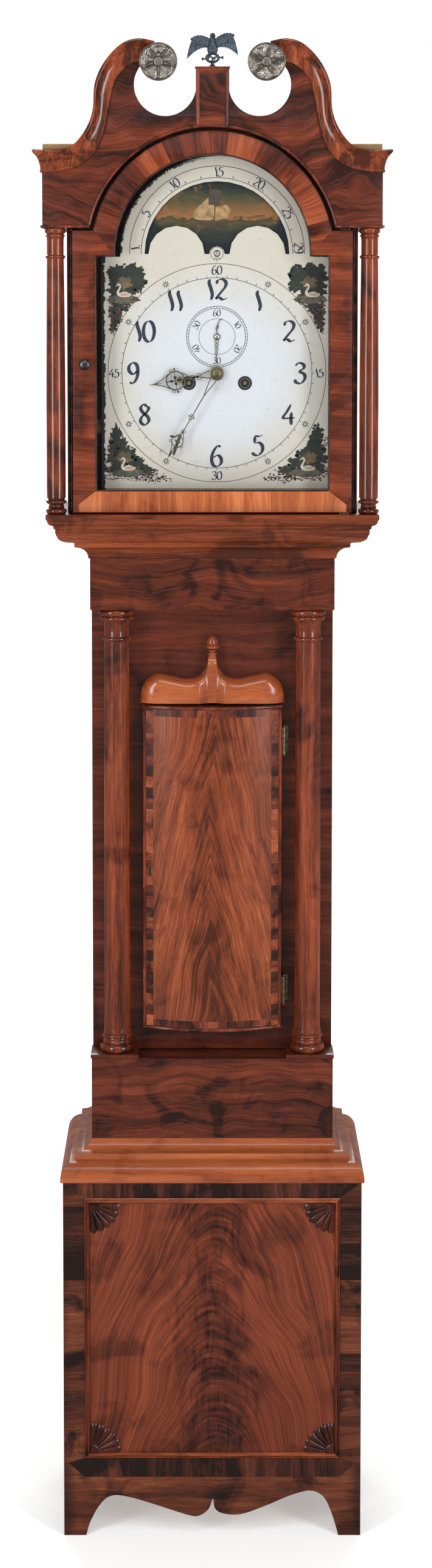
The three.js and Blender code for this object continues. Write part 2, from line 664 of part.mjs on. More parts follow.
function swanNeck() {
  const section = [[0, 0], [0, 0.2], [0.12, 0.24], [0.35, 0.3], [0.6, 0.45], [0.8, 0.7], [0.9, 1],
    [1, 1], [1, 0]];
  const outer = new THREE.SplineCurve(neckOuter.map(([x, z]) => new THREE.Vector2(spread(x), lift(z))));
  const inner = new THREE.SplineCurve(neckInner.map(([x, z]) => new THREE.Vector2(spread(x), lift(z))));
  const steps = 20;
  const front = outer.getPoints(steps).map((o, i) => {
    const n = inner.getPoint(i / steps);
    return section.map(([across, proud]) => [
      n.x + (o.x - n.x) * across,
      atDepth(tympanumDepth + gap + proud * (neckProjection - gap)),
      n.y + (o.y - n.y) * across,
    ]);
  });
  const zLow = lift(82);
  const zHigh = zLow + mouldHeight;
  const corner = (depthOf) => section.map(([across, proud]) => {
    const outset = gap + proud * (neckProjection - gap);
    return [hoodHalf + outset, atDepth(depthOf(outset)), zLow + (zHigh - zLow) * across];
  });
  const rings = [corner(() => 0), corner((outset) => tympanumDepth + outset), ...front];
  const boss = arbor(rosetteRadius - 1, tympanumDepth + gap, tympanumDepth + neckProjection, rosetteX,
    rosetteZ, 20);
  return join(skin(rings, section.map(([across, proud]) => [proud * neckProjection,
    across * mouldHeight])), boss);
}
add('swan_neck_right', swanNeck(), lightMahogany);
add('swan_neck_left', mirrored(swanNeck()), lightMahogany);

function rosette(x) {
  const back = tympanumDepth + neckProjection + gap;
  const front = overallDepth;
  const bossRadius = 6.8;
  const profile = [
    [0, back], [rosetteRadius - 1, back], [rosetteRadius, back + 2], [rosetteRadius - 2, back + 4.2],
    [rosetteRadius * 0.66, back + 5.6], [rosetteRadius * 0.4, back + 3.6], [bossRadius, back + 3.2],
    [bossRadius, front - 0.6], [bossRadius - 1.4, front], [0, front],
  ];
  return turnedForward(profile, x, rosetteZ, 18);
}
add('rosette_left', rosette(-rosetteX), brass);
add('rosette_right', rosette(rosetteX), brass);

const plinthHalf = 24.6;
const zPlinthTop = lift(236);
const zPlinthFoot = zArch + tympanumArch + 1;
add('finial_plinth', block(-plinthHalf, plinthHalf, tympanumDepth + gap, tympanumDepth + 9,
  zPlinthFoot, zPlinthTop),
  mahogany);

const eagleDepth = tympanumDepth - 5;
function eagle() {
  const z = zPlinthTop + 0.5;
  const top = z + 52;
  const foot = turned([[0, z], [5, z], [5, z + 1.5], [3, z + 3], [3.4, z + 9], [9, z + 12], [10.5, z + 17],
    [8.5, z + 22], [3, z + 24.5], [0, z + 24.5]], 0, eagleDepth, 12);
  const body = new THREE.SphereGeometry(7, 8, 6).scale(0.95, 1, 1.7).translate(0, atDepth(eagleDepth),
    z + 32);
  const head = new THREE.SphereGeometry(4.4, 8, 5).translate(0, atDepth(eagleDepth + 3), z + 45);
  const wing = frontBoard(outline([
    [2, z + 30], [10, z + 31], [18, z + 24], [31, z + 17.5], [35, z + 22], [32, z + 36], [25, top - 4],
    [17, top], [9, top - 4], [3, z + 42],
  ]), eagleDepth - 2, eagleDepth + 2);
  return join(foot, body, head, wing, mirrored(wing));
}
add('eagle_finial', eagle(), oldBronze);

function hoodColumn(x) {
  const foot = zHoodFloor + gap;
  const top = zTympanum - gap;
  const shaft = hoodColumnRadius;
  const cap = hoodCapRadius;
  return turned([
    [0, foot], [cap - 1.5, foot], ...arcPoints(cap - 5.4, foot + 6.5, 5.4, 6.3, -Math.PI / 2,
      Math.PI / 2, 4),
    [cap - 2.6, foot + 15], [cap - 0.6, foot + 19], [cap - 0.6, foot + 22], [shaft + 0.2, foot + 26],
    [shaft, foot + 160], [shaft - 2, top - 46], [shaft - 0.8, top - 44], [shaft - 0.8, top - 40],
    [shaft - 1.8, top - 38], [shaft - 1.6, top - 16], [cap - 2, top - 12], [cap - 2, top - 8.5],
    [cap - 3, top - 7.5], [cap, top - 5], [cap, top - 1], [cap - 1, top], [0, top],
  ], x, hoodColumnDepth);
}
add('hood_column_left', hoodColumn(-hoodColumnX), mahogany);
add('hood_column_right', hoodColumn(hoodColumnX), mahogany);

// ---------- hood door ----------
const hoodDoorFront = tympanumDepth - 9;
const hoodDoorBack = hoodDoorFront - hoodDoorThickness;
const zDoorFoot = zHoodFloor + 2;
const zDoorShoulder = zTympanum - 4;
const zOpeningLow = zHoodFloor + hoodDoorRail + 2;

function archOutline(half, zLow, zShoulder, radius) {
  const reach = Math.sqrt(radius ** 2 - (zShoulder - zArch) ** 2);
  const from = Math.atan2(zShoulder - zArch, reach);
  return [
    [-half, zLow], [half, zLow], [half, zShoulder],
    ...arcPoints(0, zArch, radius, radius, from, Math.PI - from, 24),
    [-half, zShoulder],
  ];
}

function hoodDoorFrame() {
  const frame = outline(archOutline(hoodDoorHalf, zDoorFoot, zDoorShoulder, doorArchOuter));
  frame.holes.push(outline(archOutline(doorOpeningHalf, zOpeningLow, zDialTop, doorArchRadius)));
  return frontBoard(frame, hoodDoorBack, hoodDoorFront);
}
add('hood_door_frame', hoodDoorFrame(), mahogany);
add('hood_front_frame', hoodFrontFrame(), darkMahogany);

add('hood_glass', frontBoard(
  outline(archOutline(doorOpeningHalf - gap, zOpeningLow + gap, zDialTop - gap, doorArchRadius - gap)),
  hoodDoorBack + 6, hoodDoorBack + 9,
), clearGlass);

const knobX = -doorOpeningHalf - 17;
const knobZ = zDialCentre + 13.8;
add('hood_door_knob', turnedForward([
  [0, hoodDoorFront + gap], [5, hoodDoorFront + gap], [5, hoodDoorFront + 2], [3, hoodDoorFront + 3],
  [3, hoodDoorFront + 7], [7.6, hoodDoorFront + 9], [8.2, hoodDoorFront + 12], [6.5, hoodDoorFront + 14.5],
  [0, hoodDoorFront + 15.5],
], knobX, knobZ, 16), oldBronze);

// ---------- dial ----------
const moonZ = zArch - 1;
function dialPlate() {
  const half = dialWidth / 2;
  const centre = (points) => points.map(([x, z]) => [x + dialOffset, z]);
  const reach = Math.sqrt(dialArchRadius ** 2 - (zDialTop - zArch) ** 2);
  const from = Math.atan2(zDialTop - zArch, reach);
  const plate = outline(centre([
    [-half, zDialCentre - half], [half, zDialCentre - half], [half, zDialTop],
    ...arcPoints(0, zArch, dialArchRadius, dialArchRadius, from, Math.PI - from, 22), [-half, zDialTop],
  ]));
  const hump = (x) => arcPoints(x, moonZ, humpRadius, humpRadius, Math.PI, 0, 8);
  const window = [
    ...arcPoints(0, moonZ, moonWindowRadius, moonWindowRadius, 0, Math.PI, 18),
    ...hump(-humpOffset), ...arcPoints(0, moonZ, 11.6, 11.6, Math.PI, 0, 6), ...hump(humpOffset),
  ];
  plate.holes.push(outline(centre(window)));
  const round = (x, z, radius) => outline(centre(arcPoints(x, z, radius, radius, 0, TAU, 10).slice(0, -1)));
  plate.holes.push(round(0, zDialCentre, 6));
  plate.holes.push(round(0, zDialCentre + secondsRise, 2.6));
  plate.holes.push(round(-barrelOffset, zDialCentre - barrelDrop, arborHoleRadius));
  plate.holes.push(round(barrelOffset, zDialCentre - barrelDrop, arborHoleRadius));
  return frontBoard(plate, dialDepth - dialThickness, dialDepth);
}
add('dial', dialPlate(), paintedIron);
const moonDiscRadius = moonWindowRadius + moonDiscLap;
const moonDiscBack = dialDepth - 6.5;
const moonDiscFront = dialDepth - 5;
add('moon_disc', turnedForward([
  [0, moonDiscBack], [moonDiscRadius, moonDiscBack], [moonDiscRadius, moonDiscFront],
  [0, moonDiscFront],
], dialOffset, moonZ, 36), moonPaint);

// ---------- movement ----------
// A piece is placed by its offset from the dial's centre.
const mx = (x) => dialOffset + x;
const mz = (z) => zDialCentre + z;

// A toothed wheel: a pointed tooth each step, a crossed-out disc and its arbor hole filled by a hub.
function toothedDisc(teeth, tipRadius, rootRadius, phase, depth0, depth1, x, z, spokes = 0) {
  const points = [];
  for (let i = 0; i < teeth; i += 1) {
    const tip = phase + (TAU * i) / teeth;
    const root = tip + Math.PI / teeth;
    points.push([x + tipRadius * Math.sin(tip), z + tipRadius * Math.cos(tip)]);
    points.push([x + rootRadius * Math.sin(root), z + rootRadius * Math.cos(root)]);
  }
  const shape = outline(points.reverse());
  const rim = rootRadius - 3;
  const hub = Math.max(5, rootRadius * 0.22);
  for (let i = 0; i < spokes; i += 1) {
    const from = (TAU * i) / spokes + 0.14;
    const to = (TAU * (i + 1)) / spokes - 0.14;
    shape.holes.push(outline([
      ...arcPoints(x, z, rim, rim, from, to, 3), ...arcPoints(x, z, hub, hub, to - 0.25, from + 0.25, 1),
    ]));
  }
  return frontBoard(shape, depth0, depth1);
}

// Meshing pairs share a pitch circle; tips reach a little past it and stay clear of the other's roots.
function gear(teeth, centreDistance, otherTeeth) {
  const pitch = (centreDistance * teeth) / (teeth + otherTeeth);
  const modulus = (2 * pitch) / teeth;
  return { teeth, tip: pitch + 0.3 * modulus, root: pitch - 1.25 * modulus };
}

// The tooth phase that puts a gap of the follower opposite a tooth of the driver on the line between
// centres.
function meshPhase(driverTeeth, driverPhase, followerTeeth, dx, dz) {
  const towards = Math.atan2(dx, dz);
  const driverStep = TAU / driverTeeth;
  const nearTooth = ((towards - driverPhase) / driverStep) % 1;
  const followerStep = TAU / followerTeeth;
  return towards + Math.PI + followerStep * (0.5 + nearTooth);
}

const thirdAt = [11.8, 30.2];
const escapeAt = [0, secondsRise];
const goingAt = [barrelOffset, -barrelDrop];
const distance = (a, b) => Math.hypot(a[0] - b[0], a[1] - b[1]);
const centreToGreat = distance([0, 0], goingAt);
const centreToThird = distance([0, 0], thirdAt);
const thirdToEscape = distance(thirdAt, escapeAt);

const great = gear(96, centreToGreat, 8);
const centrePinion = gear(8, centreToGreat, 96);
const centreGear = gear(64, centreToThird, 8);
const thirdPinion = gear(8, centreToThird, 64);
const thirdGear = gear(60, thirdToEscape, 8);
const escapePinion = gear(8, thirdToEscape, 60);
const minuteWheelAt = [-24, -20];
const centreToMinute = distance([0, 0], minuteWheelAt);
const cannonGear = gear(36, centreToMinute, 36);
const minutePinion = gear(6, centreToMinute, 72);
const hourGear = gear(72, centreToMinute, 6);

const greatPhase = 0.01;
const centrePhase = meshPhase(96, greatPhase, 8, -goingAt[0], -goingAt[1]);
const thirdPhase = meshPhase(64, centrePhase, 8, thirdAt[0], thirdAt[1]);
const escapePhase = meshPhase(60, thirdPhase, 8, escapeAt[0] - thirdAt[0], escapeAt[1] - thirdAt[1]);
const minutePhase = meshPhase(36, centrePhase, 36, minuteWheelAt[0], minuteWheelAt[1]);
const hourPhase = meshPhase(6, minutePhase, 72, -minuteWheelAt[0], -minuteWheelAt[1]);

const insideBack = backPlateDepth + gap;
const insideFront = frontPlateDepth - plateThickness - gap;
const bellZ = mz(132);
const bellDepth = 112;

function movementFrame() {
  const half = plateWidth / 2;
  const low = zSeat + gap;
  const high = low + plateHeight;
  const plate = (depth0, holes) => {
    const shape = outline([[mx(-half), low], [mx(half), low], [mx(half), high], [mx(-half), high]]);
    holes.forEach(([x, z, radius]) => {
      shape.holes.push(outline(arcPoints(mx(x), mz(z), radius, radius, 0, TAU, 12).slice(0, -1)));
    });
    return frontBoard(shape, depth0, depth0 + plateThickness);
  };
  const frontHoles = [[0, 0, 3.4], [0, secondsRise, 2.6], [barrelOffset, -barrelDrop, 4.6],
    [-barrelOffset, -barrelDrop, 4.6]];
  const pillars = [[-1, 0], [1, 0], [-1, 1], [1, 1]].map(([sx, top]) => arbor(5, backPlateDepth - 1,
    frontPlateDepth - 1, mx(sx * (half - 9)), top ? high - 9 : low + 9, 8));
  const cock = join(
    block(mx(-9), mx(9), pendulumDepth - 3, backPlateDepth - 2, mz(anchorRise + 7), mz(anchorRise + 10)),
    block(mx(-9), mx(9), pendulumDepth - 3, pendulumDepth + 4, mz(anchorRise + 1.5), mz(anchorRise + 10)),
  );
  const bellPost = join(
    block(mx(-4), mx(4), backPlateDepth - 1, bellDepth + 4, high - 6, high - 2),
    turned([[0, high - 3], [3, high - 3], [3, bellZ + 9], [0, bellZ + 9]], mx(0), bellDepth, 8),
  );
  return join(
    plate(backPlateDepth - plateThickness,
      [[0, anchorRise, 5]]), plate(frontPlateDepth - plateThickness, frontHoles),
    ...pillars, cock, bellPost,
  );
}
add('movement_frame', movementFrame(), brass);

// the going side: great wheel, centre wheel with its arbor, third wheel, escape wheel
const greatDepth = 130;
const barrelArborRadius = 3;
add('great_wheel', cut(join(
  toothedDisc(96, great.tip, great.root, greatPhase, greatDepth, greatDepth + 3, mx(goingAt[0]),
    mz(goingAt[1]), 6),
  arbor(9, greatDepth - 2, greatDepth + 5, mx(goingAt[0]), mz(goingAt[1]), 12),
), arbor(
  barrelArborRadius + 2 * gap, greatDepth - 4, greatDepth + 7, mx(goingAt[0]), mz(goingAt[1]), 12,
)), brass);

// Winding square on the front of each barrel's arbor.
function windingArbor(x, z, from) {
  const square = new THREE.BoxGeometry(4.8, 34, 4.8).translate(mx(x), atDepth(dialDepth - 15), mz(z));
  return join(arbor(barrelArborRadius, from, dialDepth - 30, mx(x), mz(z)), square);
}

function drum(x, z) {
  return turnedForward([
    [0, insideBack + 6], [drumRadius + 4, insideBack + 6], [drumRadius + 4, insideBack + 8],
    [drumRadius, insideBack + 8], [drumRadius, greatDepth - 5.2], [drumRadius + 3, greatDepth - 5.2],
    [drumRadius + 3, greatDepth - 2.4], [0, greatDepth - 2.4],
  ], mx(x), mz(z), 14);
}
add('going_barrel', join(drum(...goingAt), windingArbor(...goingAt, insideBack + 1)), brass);

const strikeAt = [-barrelOffset, -barrelDrop];
add('strike_barrel', join(
  drum(...strikeAt), windingArbor(...strikeAt, insideBack + 1),
  toothedDisc(78, great.tip * 0.84, great.root * 0.83, 0, greatDepth - 3, greatDepth + 3,
    mx(strikeAt[0]), mz(strikeAt[1]), 5),
), brass);

const centreWheelDepth = insideFront - 5.5;
const pinionSlack = 0.4;
add('centre_wheel', join(
  toothedDisc(64, centreGear.tip, centreGear.root, centrePhase, centreWheelDepth,
    centreWheelDepth + 2.4, mx(0), mz(0), 5),
  toothedDisc(8, centrePinion.tip, centrePinion.root, centrePhase, greatDepth - 3,
    centreWheelDepth - pinionSlack, mx(0), mz(0)),
  arbor(2, insideBack, dialDepth + 15.5, mx(0), mz(0)),
  toothedDisc(36, cannonGear.tip, cannonGear.root, centrePhase, frontPlateDepth + 2,
    frontPlateDepth + 4, mx(0), mz(0)),
  arbor(2.6, frontPlateDepth + 1, dialDepth + 14, mx(0), mz(0)),
), brass);

const thirdWheelDepth = 104;
add('third_wheel', join(
  toothedDisc(60, thirdGear.tip, thirdGear.root, thirdPhase, thirdWheelDepth, thirdWheelDepth + 2.2,
    mx(thirdAt[0]), mz(thirdAt[1]), 5),
  toothedDisc(8, thirdPinion.tip, thirdPinion.root, thirdPhase, centreWheelDepth - 3, insideFront - 1,
    mx(thirdAt[0]), mz(thirdAt[1])),
  arbor(1.6, insideBack, insideFront, mx(thirdAt[0]), mz(thirdAt[1])),
), brass);

const escapeWheelDepth = 92;
const escapeRadius = 20;
add('escape_wheel', join(
  toothedDisc(30, escapeRadius, escapeRadius - 4, 0, escapeWheelDepth, escapeWheelDepth + 2,
    mx(escapeAt[0]), mz(escapeAt[1]), 4),
  toothedDisc(8, escapePinion.tip, escapePinion.root, escapePhase, thirdWheelDepth - 3, thirdWheelDepth + 6,
    mx(escapeAt[0]), mz(escapeAt[1])),
  arbor(1.2, insideBack, dialDepth + 6, mx(escapeAt[0]), mz(escapeAt[1])),
), brass);

const crutchDrop = 150;
add('anchor', join(
  frontBoard(outline([
    [mx(-19), mz(anchorRise - 16)], [mx(-17), mz(anchorRise - 11)], [mx(-10), mz(anchorRise - 3)],
    [mx(0), mz(anchorRise + 4)], [mx(10), mz(anchorRise - 3)], [mx(17), mz(anchorRise - 11)],
    [mx(19), mz(anchorRise - 16)], [mx(14), mz(anchorRise - 12)], [mx(7), mz(anchorRise - 6)],
    [mx(-7), mz(anchorRise - 6)], [mx(-14), mz(anchorRise - 12)],
  ]), escapeWheelDepth - 1, escapeWheelDepth + 3),
  arbor(1.5, pendulumDepth + 8, insideFront, mx(0), mz(anchorRise)),
  block(mx(-1.5), mx(1.5), pendulumDepth + 8, pendulumDepth + 11, mz(anchorRise - crutchDrop),
    mz(anchorRise)),
  block(mx(-7), mx(7), pendulumDepth + 8, pendulumDepth + 11, mz(anchorRise - crutchDrop),
    mz(anchorRise - crutchDrop + 3)),
  block(mx(-7), mx(-4), pendulumDepth - 4, pendulumDepth + 10, mz(anchorRise - crutchDrop),
    mz(anchorRise - crutchDrop + 3)),
  block(mx(4), mx(7), pendulumDepth - 4, pendulumDepth + 10, mz(anchorRise - crutchDrop),
    mz(anchorRise - crutchDrop + 3)),
), steel);

// motion work in front of the plate
const motionDepth = frontPlateDepth + 2;
add('minute_wheel', join(
  toothedDisc(36, cannonGear.tip, cannonGear.root, minutePhase, motionDepth, motionDepth + 2,
    mx(minuteWheelAt[0]), mz(minuteWheelAt[1]), 4),
  toothedDisc(6, minutePinion.tip, minutePinion.root * 0.9, minutePhase, motionDepth + 1, motionDepth + 8,
    mx(minuteWheelAt[0]), mz(minuteWheelAt[1])),
), brass);

const hourPipe = 5.2;
const hourHandDepth = dialDepth + 5;
function hourWheel() {
  const disc = toothedDisc(72, hourGear.tip, hourGear.root, hourPhase, motionDepth + 5,
    motionDepth + 7, mx(0), mz(0), 4);
  const pipe = arbor(hourPipe, motionDepth + 5, hourHandDepth - gap, mx(0), mz(0), 14);
  const bore = arbor(3.2, motionDepth, hourHandDepth + 5, mx(0), mz(0), 14);
  return cut(join(disc, pipe), bore);
}
add('hour_wheel', hourWheel(), brass);

// ---------- hands ----------
const clockwise = (degrees) => (degrees * Math.PI) / 180;

// A flat piece drawn along the 12 o'clock direction, turned to its angle about a point.
function handPiece(points, depth0, depth1, x, z, angle) {
  const place = ([u, v]) => [x + u * Math.cos(angle) + v * Math.sin(angle),
    z - u * Math.sin(angle) + v * Math.cos(angle)];
  return frontBoard(outline(points.map(place)), depth0, depth1);
}

function ringPiece(radius, width, along, depth0, depth1, x, z, angle) {
  const cx = x + along * Math.sin(angle);
  const cz = z + along * Math.cos(angle);
  const ring = outline(arcPoints(cx, cz, radius, radius, 0, TAU, 14).slice(0, -1));
  ring.holes.push(outline(arcPoints(cx, cz, radius - width, radius - width, 0, TAU, 12).slice(0, -1)));
  return frontBoard(ring, depth0, depth1);
}

const taper = (from, to, wide, narrow) => [[-wide, from], [wide, from], [narrow, to], [-narrow, to]];

const hourAngle = clockwise(259.9);
const hourLength = 103;
function hourHand() {
  const d0 = hourHandDepth;
  const d1 = d0 + 1.2;
  return cut(join(
    arbor(11, d0, d1 + 1, mx(0), mz(0), 18),
    handPiece(taper(8, 50, 5.5, 1.6), d0, d1, mx(0), mz(0), hourAngle),
    ringPiece(15, 2.6, 63.4, d0, d1, mx(0), mz(0), hourAngle),
    handPiece([[-1.6, 77], [1.6, 77], [3.6, 88], [0.4, hourLength], [-0.4, hourLength], [-3.6, 88]], d0, d1,
      mx(0), mz(0), hourAngle),
  ), arbor(3.2, d0 - 2, d1 + 3, mx(0), mz(0), 14));
}
add('hour_hand', hourHand(), brass);

const minuteAngle = clockwise(210.2);
const minuteLength = 150;
function minuteHand() {
  const d0 = dialDepth + 14.3;
  const d1 = d0 + 1.2;
  return cut(join(
    arbor(6.2, d0, d1 + 1.5, mx(0), mz(0), 16),
    handPiece(taper(4, 38, 3.6, 1.2), d0, d1, mx(0), mz(0), minuteAngle),
    handPiece(taper(37, 109, 1.3, 1.1), d0, d1, mx(0), mz(0), minuteAngle),
    handPiece([[-6.5, 77], [0, 73], [6.5, 77], [0, 84]], d0, d1, mx(0), mz(0), minuteAngle),
    ringPiece(9.2, 2, 117.5, d0, d1, mx(0), mz(0), minuteAngle),
    handPiece([[-1.2, 126], [1.2, 126], [2.2, 132], [0.3, minuteLength], [-0.3, minuteLength],
      [-2.2, 132]], d0, d1,
      mx(0), mz(0), minuteAngle),
  ), arbor(2 + gap, d0 - 2, d1 + 3, mx(0), mz(0), 10));
}
add('minute_hand', minuteHand(), brass);

const secondsAngle = clockwise(182);
function secondsHand() {
  const d0 = dialDepth + 1.2;
  const d1 = d0 + 0.8;
  const z = mz(secondsRise);
  return cut(join(
    arbor(5.6, d0, d1 + 1, mx(0), z, 14),
    handPiece(taper(3, 42, 1.4, 0.5), d0, d1, mx(0), z, secondsAngle),
    handPiece(taper(-27, -3, 0.8, 1.4), d0, d1, mx(0), z, secondsAngle),
  ), arbor(1.2 + gap, d0 - 2, d1 + 4, mx(0), z, 10));
}
add('seconds_hand', secondsHand(), brass);

// ---------- striking ----------
function bell() {
  const wall = 2.4;
  const outer = arcPoints(0, bellZ - 30, bellRadius - 4, 36, 0.2, Math.PI / 2 - 0.09, 5);
  const inner = arcPoints(0, bellZ - 30, bellRadius - 4 - wall, 36 - wall, Math.PI / 2 - 0.095, 0.2, 5);
  const profile = [[bellRadius, bellZ - 30], ...outer, ...inner, [bellRadius - wall, bellZ - 30]];
  return turned([...profile, profile[0]], mx(0), bellDepth, 16);
}
add('bell', bell(), brass);

const hammerPivot = [-46, 52];
const hammerHeadZ = bellZ - 22;
const hammerX = mx(-bellRadius - 8);
const hammerArmX = hammerX - 8;
const hammerArmZ = mz(hammerPivot[1] + 18);
add('hammer', join(
  arbor(1.6, insideBack, insideFront, mx(hammerPivot[0]), mz(hammerPivot[1])),
  block(mx(hammerPivot[0]) - 2, mx(hammerPivot[0]) + 2, bellDepth - 2, bellDepth + 2,
    mz(hammerPivot[1]), hammerArmZ),
  block(hammerArmX, mx(hammerPivot[0]) + 2, bellDepth - 2, bellDepth + 2, hammerArmZ - 4, hammerArmZ),
  block(hammerArmX, hammerArmX + 4, bellDepth - 2, bellDepth + 2, hammerArmZ - 4, hammerHeadZ),
  turned([[0, hammerHeadZ - 8], [6, hammerHeadZ - 6], [6, hammerHeadZ + 6], [0, hammerHeadZ + 8]], hammerX,
    bellDepth, 10),
), steel);

// ---------- pendulum ----------
function pendulum() {
  const top = mz(anchorRise);
  const bobZ = top - pendulumLength;
  const bob = turnedForward([
    [0, pendulumDepth - bobThickness / 2],
    ...arcPoints(0, pendulumDepth, bobRadius, bobThickness / 2, -Math.PI / 2 + 0.2, Math.PI / 2 - 0.2, 4),
    [0, pendulumDepth + bobThickness / 2],
  ], mx(0), bobZ, 18);
  return join(
    block(mx(-4), mx(4), pendulumDepth - 0.4, pendulumDepth + 0.4, top - 14, top + 1),
    block(mx(-6), mx(6), pendulumDepth - 2.5, pendulumDepth + 2.5, top - 22, top - 13),
    block(mx(-2.6), mx(2.6), pendulumDepth - 1.5, pendulumDepth + 1.5, bobZ - 96, top - 20),
    bob,
    turned([[0, bobZ - 84], [9, bobZ - 82], [9, bobZ - 76], [0, bobZ - 74]], mx(0), pendulumDepth, 12),
  );
}
add('pendulum', pendulum(), brass);

// ---------- weights, their pulleys and lines ----------
const weightX = (side) => barrelX(side) - lineReach + lineBend;
const pulleyZ = weightFloor + weightHeight + 44;

function weight(side) {
  const x = weightX(side);
  const top = weightFloor + weightHeight;
  const body = turned([
    [0, weightFloor], [weightRadius - 3, weightFloor], [weightRadius, weightFloor + 3], [weightRadius,
      top - 3],
    [weightRadius - 3, top], [2, top], [2, pulleyZ - pulleyRadius - 6], [0, pulleyZ - pulleyRadius - 6],
  ], x, lineDepth, 16);
  const cheek = (from) => block(x - 4, x + 4, from, from + 1.6, pulleyZ - pulleyRadius - 8, pulleyZ + 6);
  const yoke = block(x - 4, x + 4, lineDepth - 5.2, lineDepth + 5.2, pulleyZ - pulleyRadius - 8,
    pulleyZ - pulleyRadius - 4);
  const wheel = turnedForward([
    [0, lineDepth - 3], [pulleyRadius + 1.4, lineDepth - 3], [pulleyRadius - 1.6, lineDepth],
    [pulleyRadius + 1.4, lineDepth + 3], [0, lineDepth + 3],
  ], x, pulleyZ, 14);
  const pin = arbor(1.6, lineDepth - 5, lineDepth + 5, x, pulleyZ, 8);
  return join(body, cheek(lineDepth - 5.2), cheek(lineDepth + 3.6), yoke, wheel, pin);
}
add('going_weight', weight(1), leadCasting);
add('strike_weight', weight(-1), leadCasting);

function weightLine(side) {
  const x = weightX(side);
  const zBarrel = mz(-barrelDrop) - 2;
  const zTied = zSeat - seatThickness + 8;
  const path = [new THREE.Vector3(x - lineBend, atDepth(lineDepth), zBarrel)];
  for (let i = 0; i <= 8; i += 1) {
    const angle = (Math.PI * i) / 8;
    path.push(new THREE.Vector3(x - lineBend * Math.cos(angle), atDepth(lineDepth),
      pulleyZ - lineBend * Math.sin(angle)));
  }
  path.push(new THREE.Vector3(x + lineBend, atDepth(lineDepth), zTied));
  const rings = path.map((point, i) => {
    const before = path[Math.max(i - 1, 0)];
    const after = path[Math.min(i + 1, path.length - 1)];
    const along = after.clone().sub(before).normalize();
    const across = new THREE.Vector3(along.z, 0, -along.x);
    return Array.from({ length: 8 }, (_, k) => {
      const angle = (TAU * k) / 8;
      const offset = across.clone().multiplyScalar(lineRadius * Math.cos(angle));
      return [point.x + offset.x, point.y + lineRadius * Math.sin(angle), point.z + offset.z];
    });
  });
  const section = arcPoints(0, 0, lineRadius, lineRadius, 0, TAU, 8).slice(0, -1);
  return skin(rings, section);
}
add('going_line', weightLine(1), gut);
add('strike_line', weightLine(-1), gut);

export default clock;
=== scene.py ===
import bpy
import bmesh
import math
import random
from mathutils import Matrix, Vector


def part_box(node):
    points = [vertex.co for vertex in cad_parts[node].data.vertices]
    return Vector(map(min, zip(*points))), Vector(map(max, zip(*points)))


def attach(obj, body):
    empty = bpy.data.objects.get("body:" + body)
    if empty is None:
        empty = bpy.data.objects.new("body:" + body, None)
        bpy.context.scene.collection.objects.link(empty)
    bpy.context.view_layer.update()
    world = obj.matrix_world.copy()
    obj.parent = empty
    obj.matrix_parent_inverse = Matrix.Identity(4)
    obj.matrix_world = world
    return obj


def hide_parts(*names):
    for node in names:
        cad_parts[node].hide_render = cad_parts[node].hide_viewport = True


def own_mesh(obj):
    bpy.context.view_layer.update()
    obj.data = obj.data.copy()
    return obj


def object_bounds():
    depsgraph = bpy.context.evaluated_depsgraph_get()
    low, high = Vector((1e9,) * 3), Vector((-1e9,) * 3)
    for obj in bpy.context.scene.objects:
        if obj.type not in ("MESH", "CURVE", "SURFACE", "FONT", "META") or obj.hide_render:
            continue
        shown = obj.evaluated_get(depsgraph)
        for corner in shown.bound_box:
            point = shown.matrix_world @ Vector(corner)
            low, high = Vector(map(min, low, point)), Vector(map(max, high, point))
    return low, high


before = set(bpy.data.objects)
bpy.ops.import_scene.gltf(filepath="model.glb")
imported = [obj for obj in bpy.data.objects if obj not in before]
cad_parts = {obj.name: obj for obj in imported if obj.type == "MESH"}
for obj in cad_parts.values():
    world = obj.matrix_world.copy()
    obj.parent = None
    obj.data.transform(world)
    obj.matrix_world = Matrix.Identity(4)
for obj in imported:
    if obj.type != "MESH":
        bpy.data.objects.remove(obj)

# A longcase clock in mahogany. Lengths are in millimetres; depth is measured forward from the back board.
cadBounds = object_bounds()
mm = 0.001
backFace = cadBounds[1][1]
gap = 0.3
tau = math.tau
print("stage: frame loaded")


def edges(node):
    low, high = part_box(node)
    return {
        "x0": low[0] / mm, "x1": high[0] / mm, "z0": low[2] / mm, "z1": high[2] / mm,
        "d0": (backFace - high[1]) / mm, "d1": (backFace - low[1]) / mm,
    }


def place(x, depth, z):
    return Vector((x * mm, backFace - depth * mm, z * mm))


# helpers that make shapes

def arc(u, v, radiusU, radiusV, start, end, steps):
    turns = [start + (end - start) * i / steps for i in range(steps + 1)]
    return [(u + radiusU * math.cos(math.radians(a)), v + radiusV * math.sin(math.radians(a)))
        for a in turns]


def flow(points, steps=6, closed=False):
    # a smooth run through given points
    count = len(points)
    spans = count if closed else count - 1
    made = []
    for i in range(spans):
        if closed:
            a, b, c, d = (points[(i + k) % count] for k in (-1, 0, 1, 2))
        else:
            a, b, c, d = (points[min(max(i + k, 0), count - 1)] for k in (-1, 0, 1, 2))
        for k in range(steps):
            t = k / steps
            made.append(tuple(
                0.5 * (2 * b[n] + (c[n] - a[n]) * t + (2 * a[n] - 5 * b[n] + 4 * c[n] - d[n]) * t * t
                    + (3 * b[n] - a[n] - 3 * c[n] + d[n]) * t ** 3)
                for n in range(len(b))))
    if not closed:
        made.append(tuple(points[-1]))
    return made


def mirroredPoints(points):
    return [(-x, z) for x, z in reversed(points)]


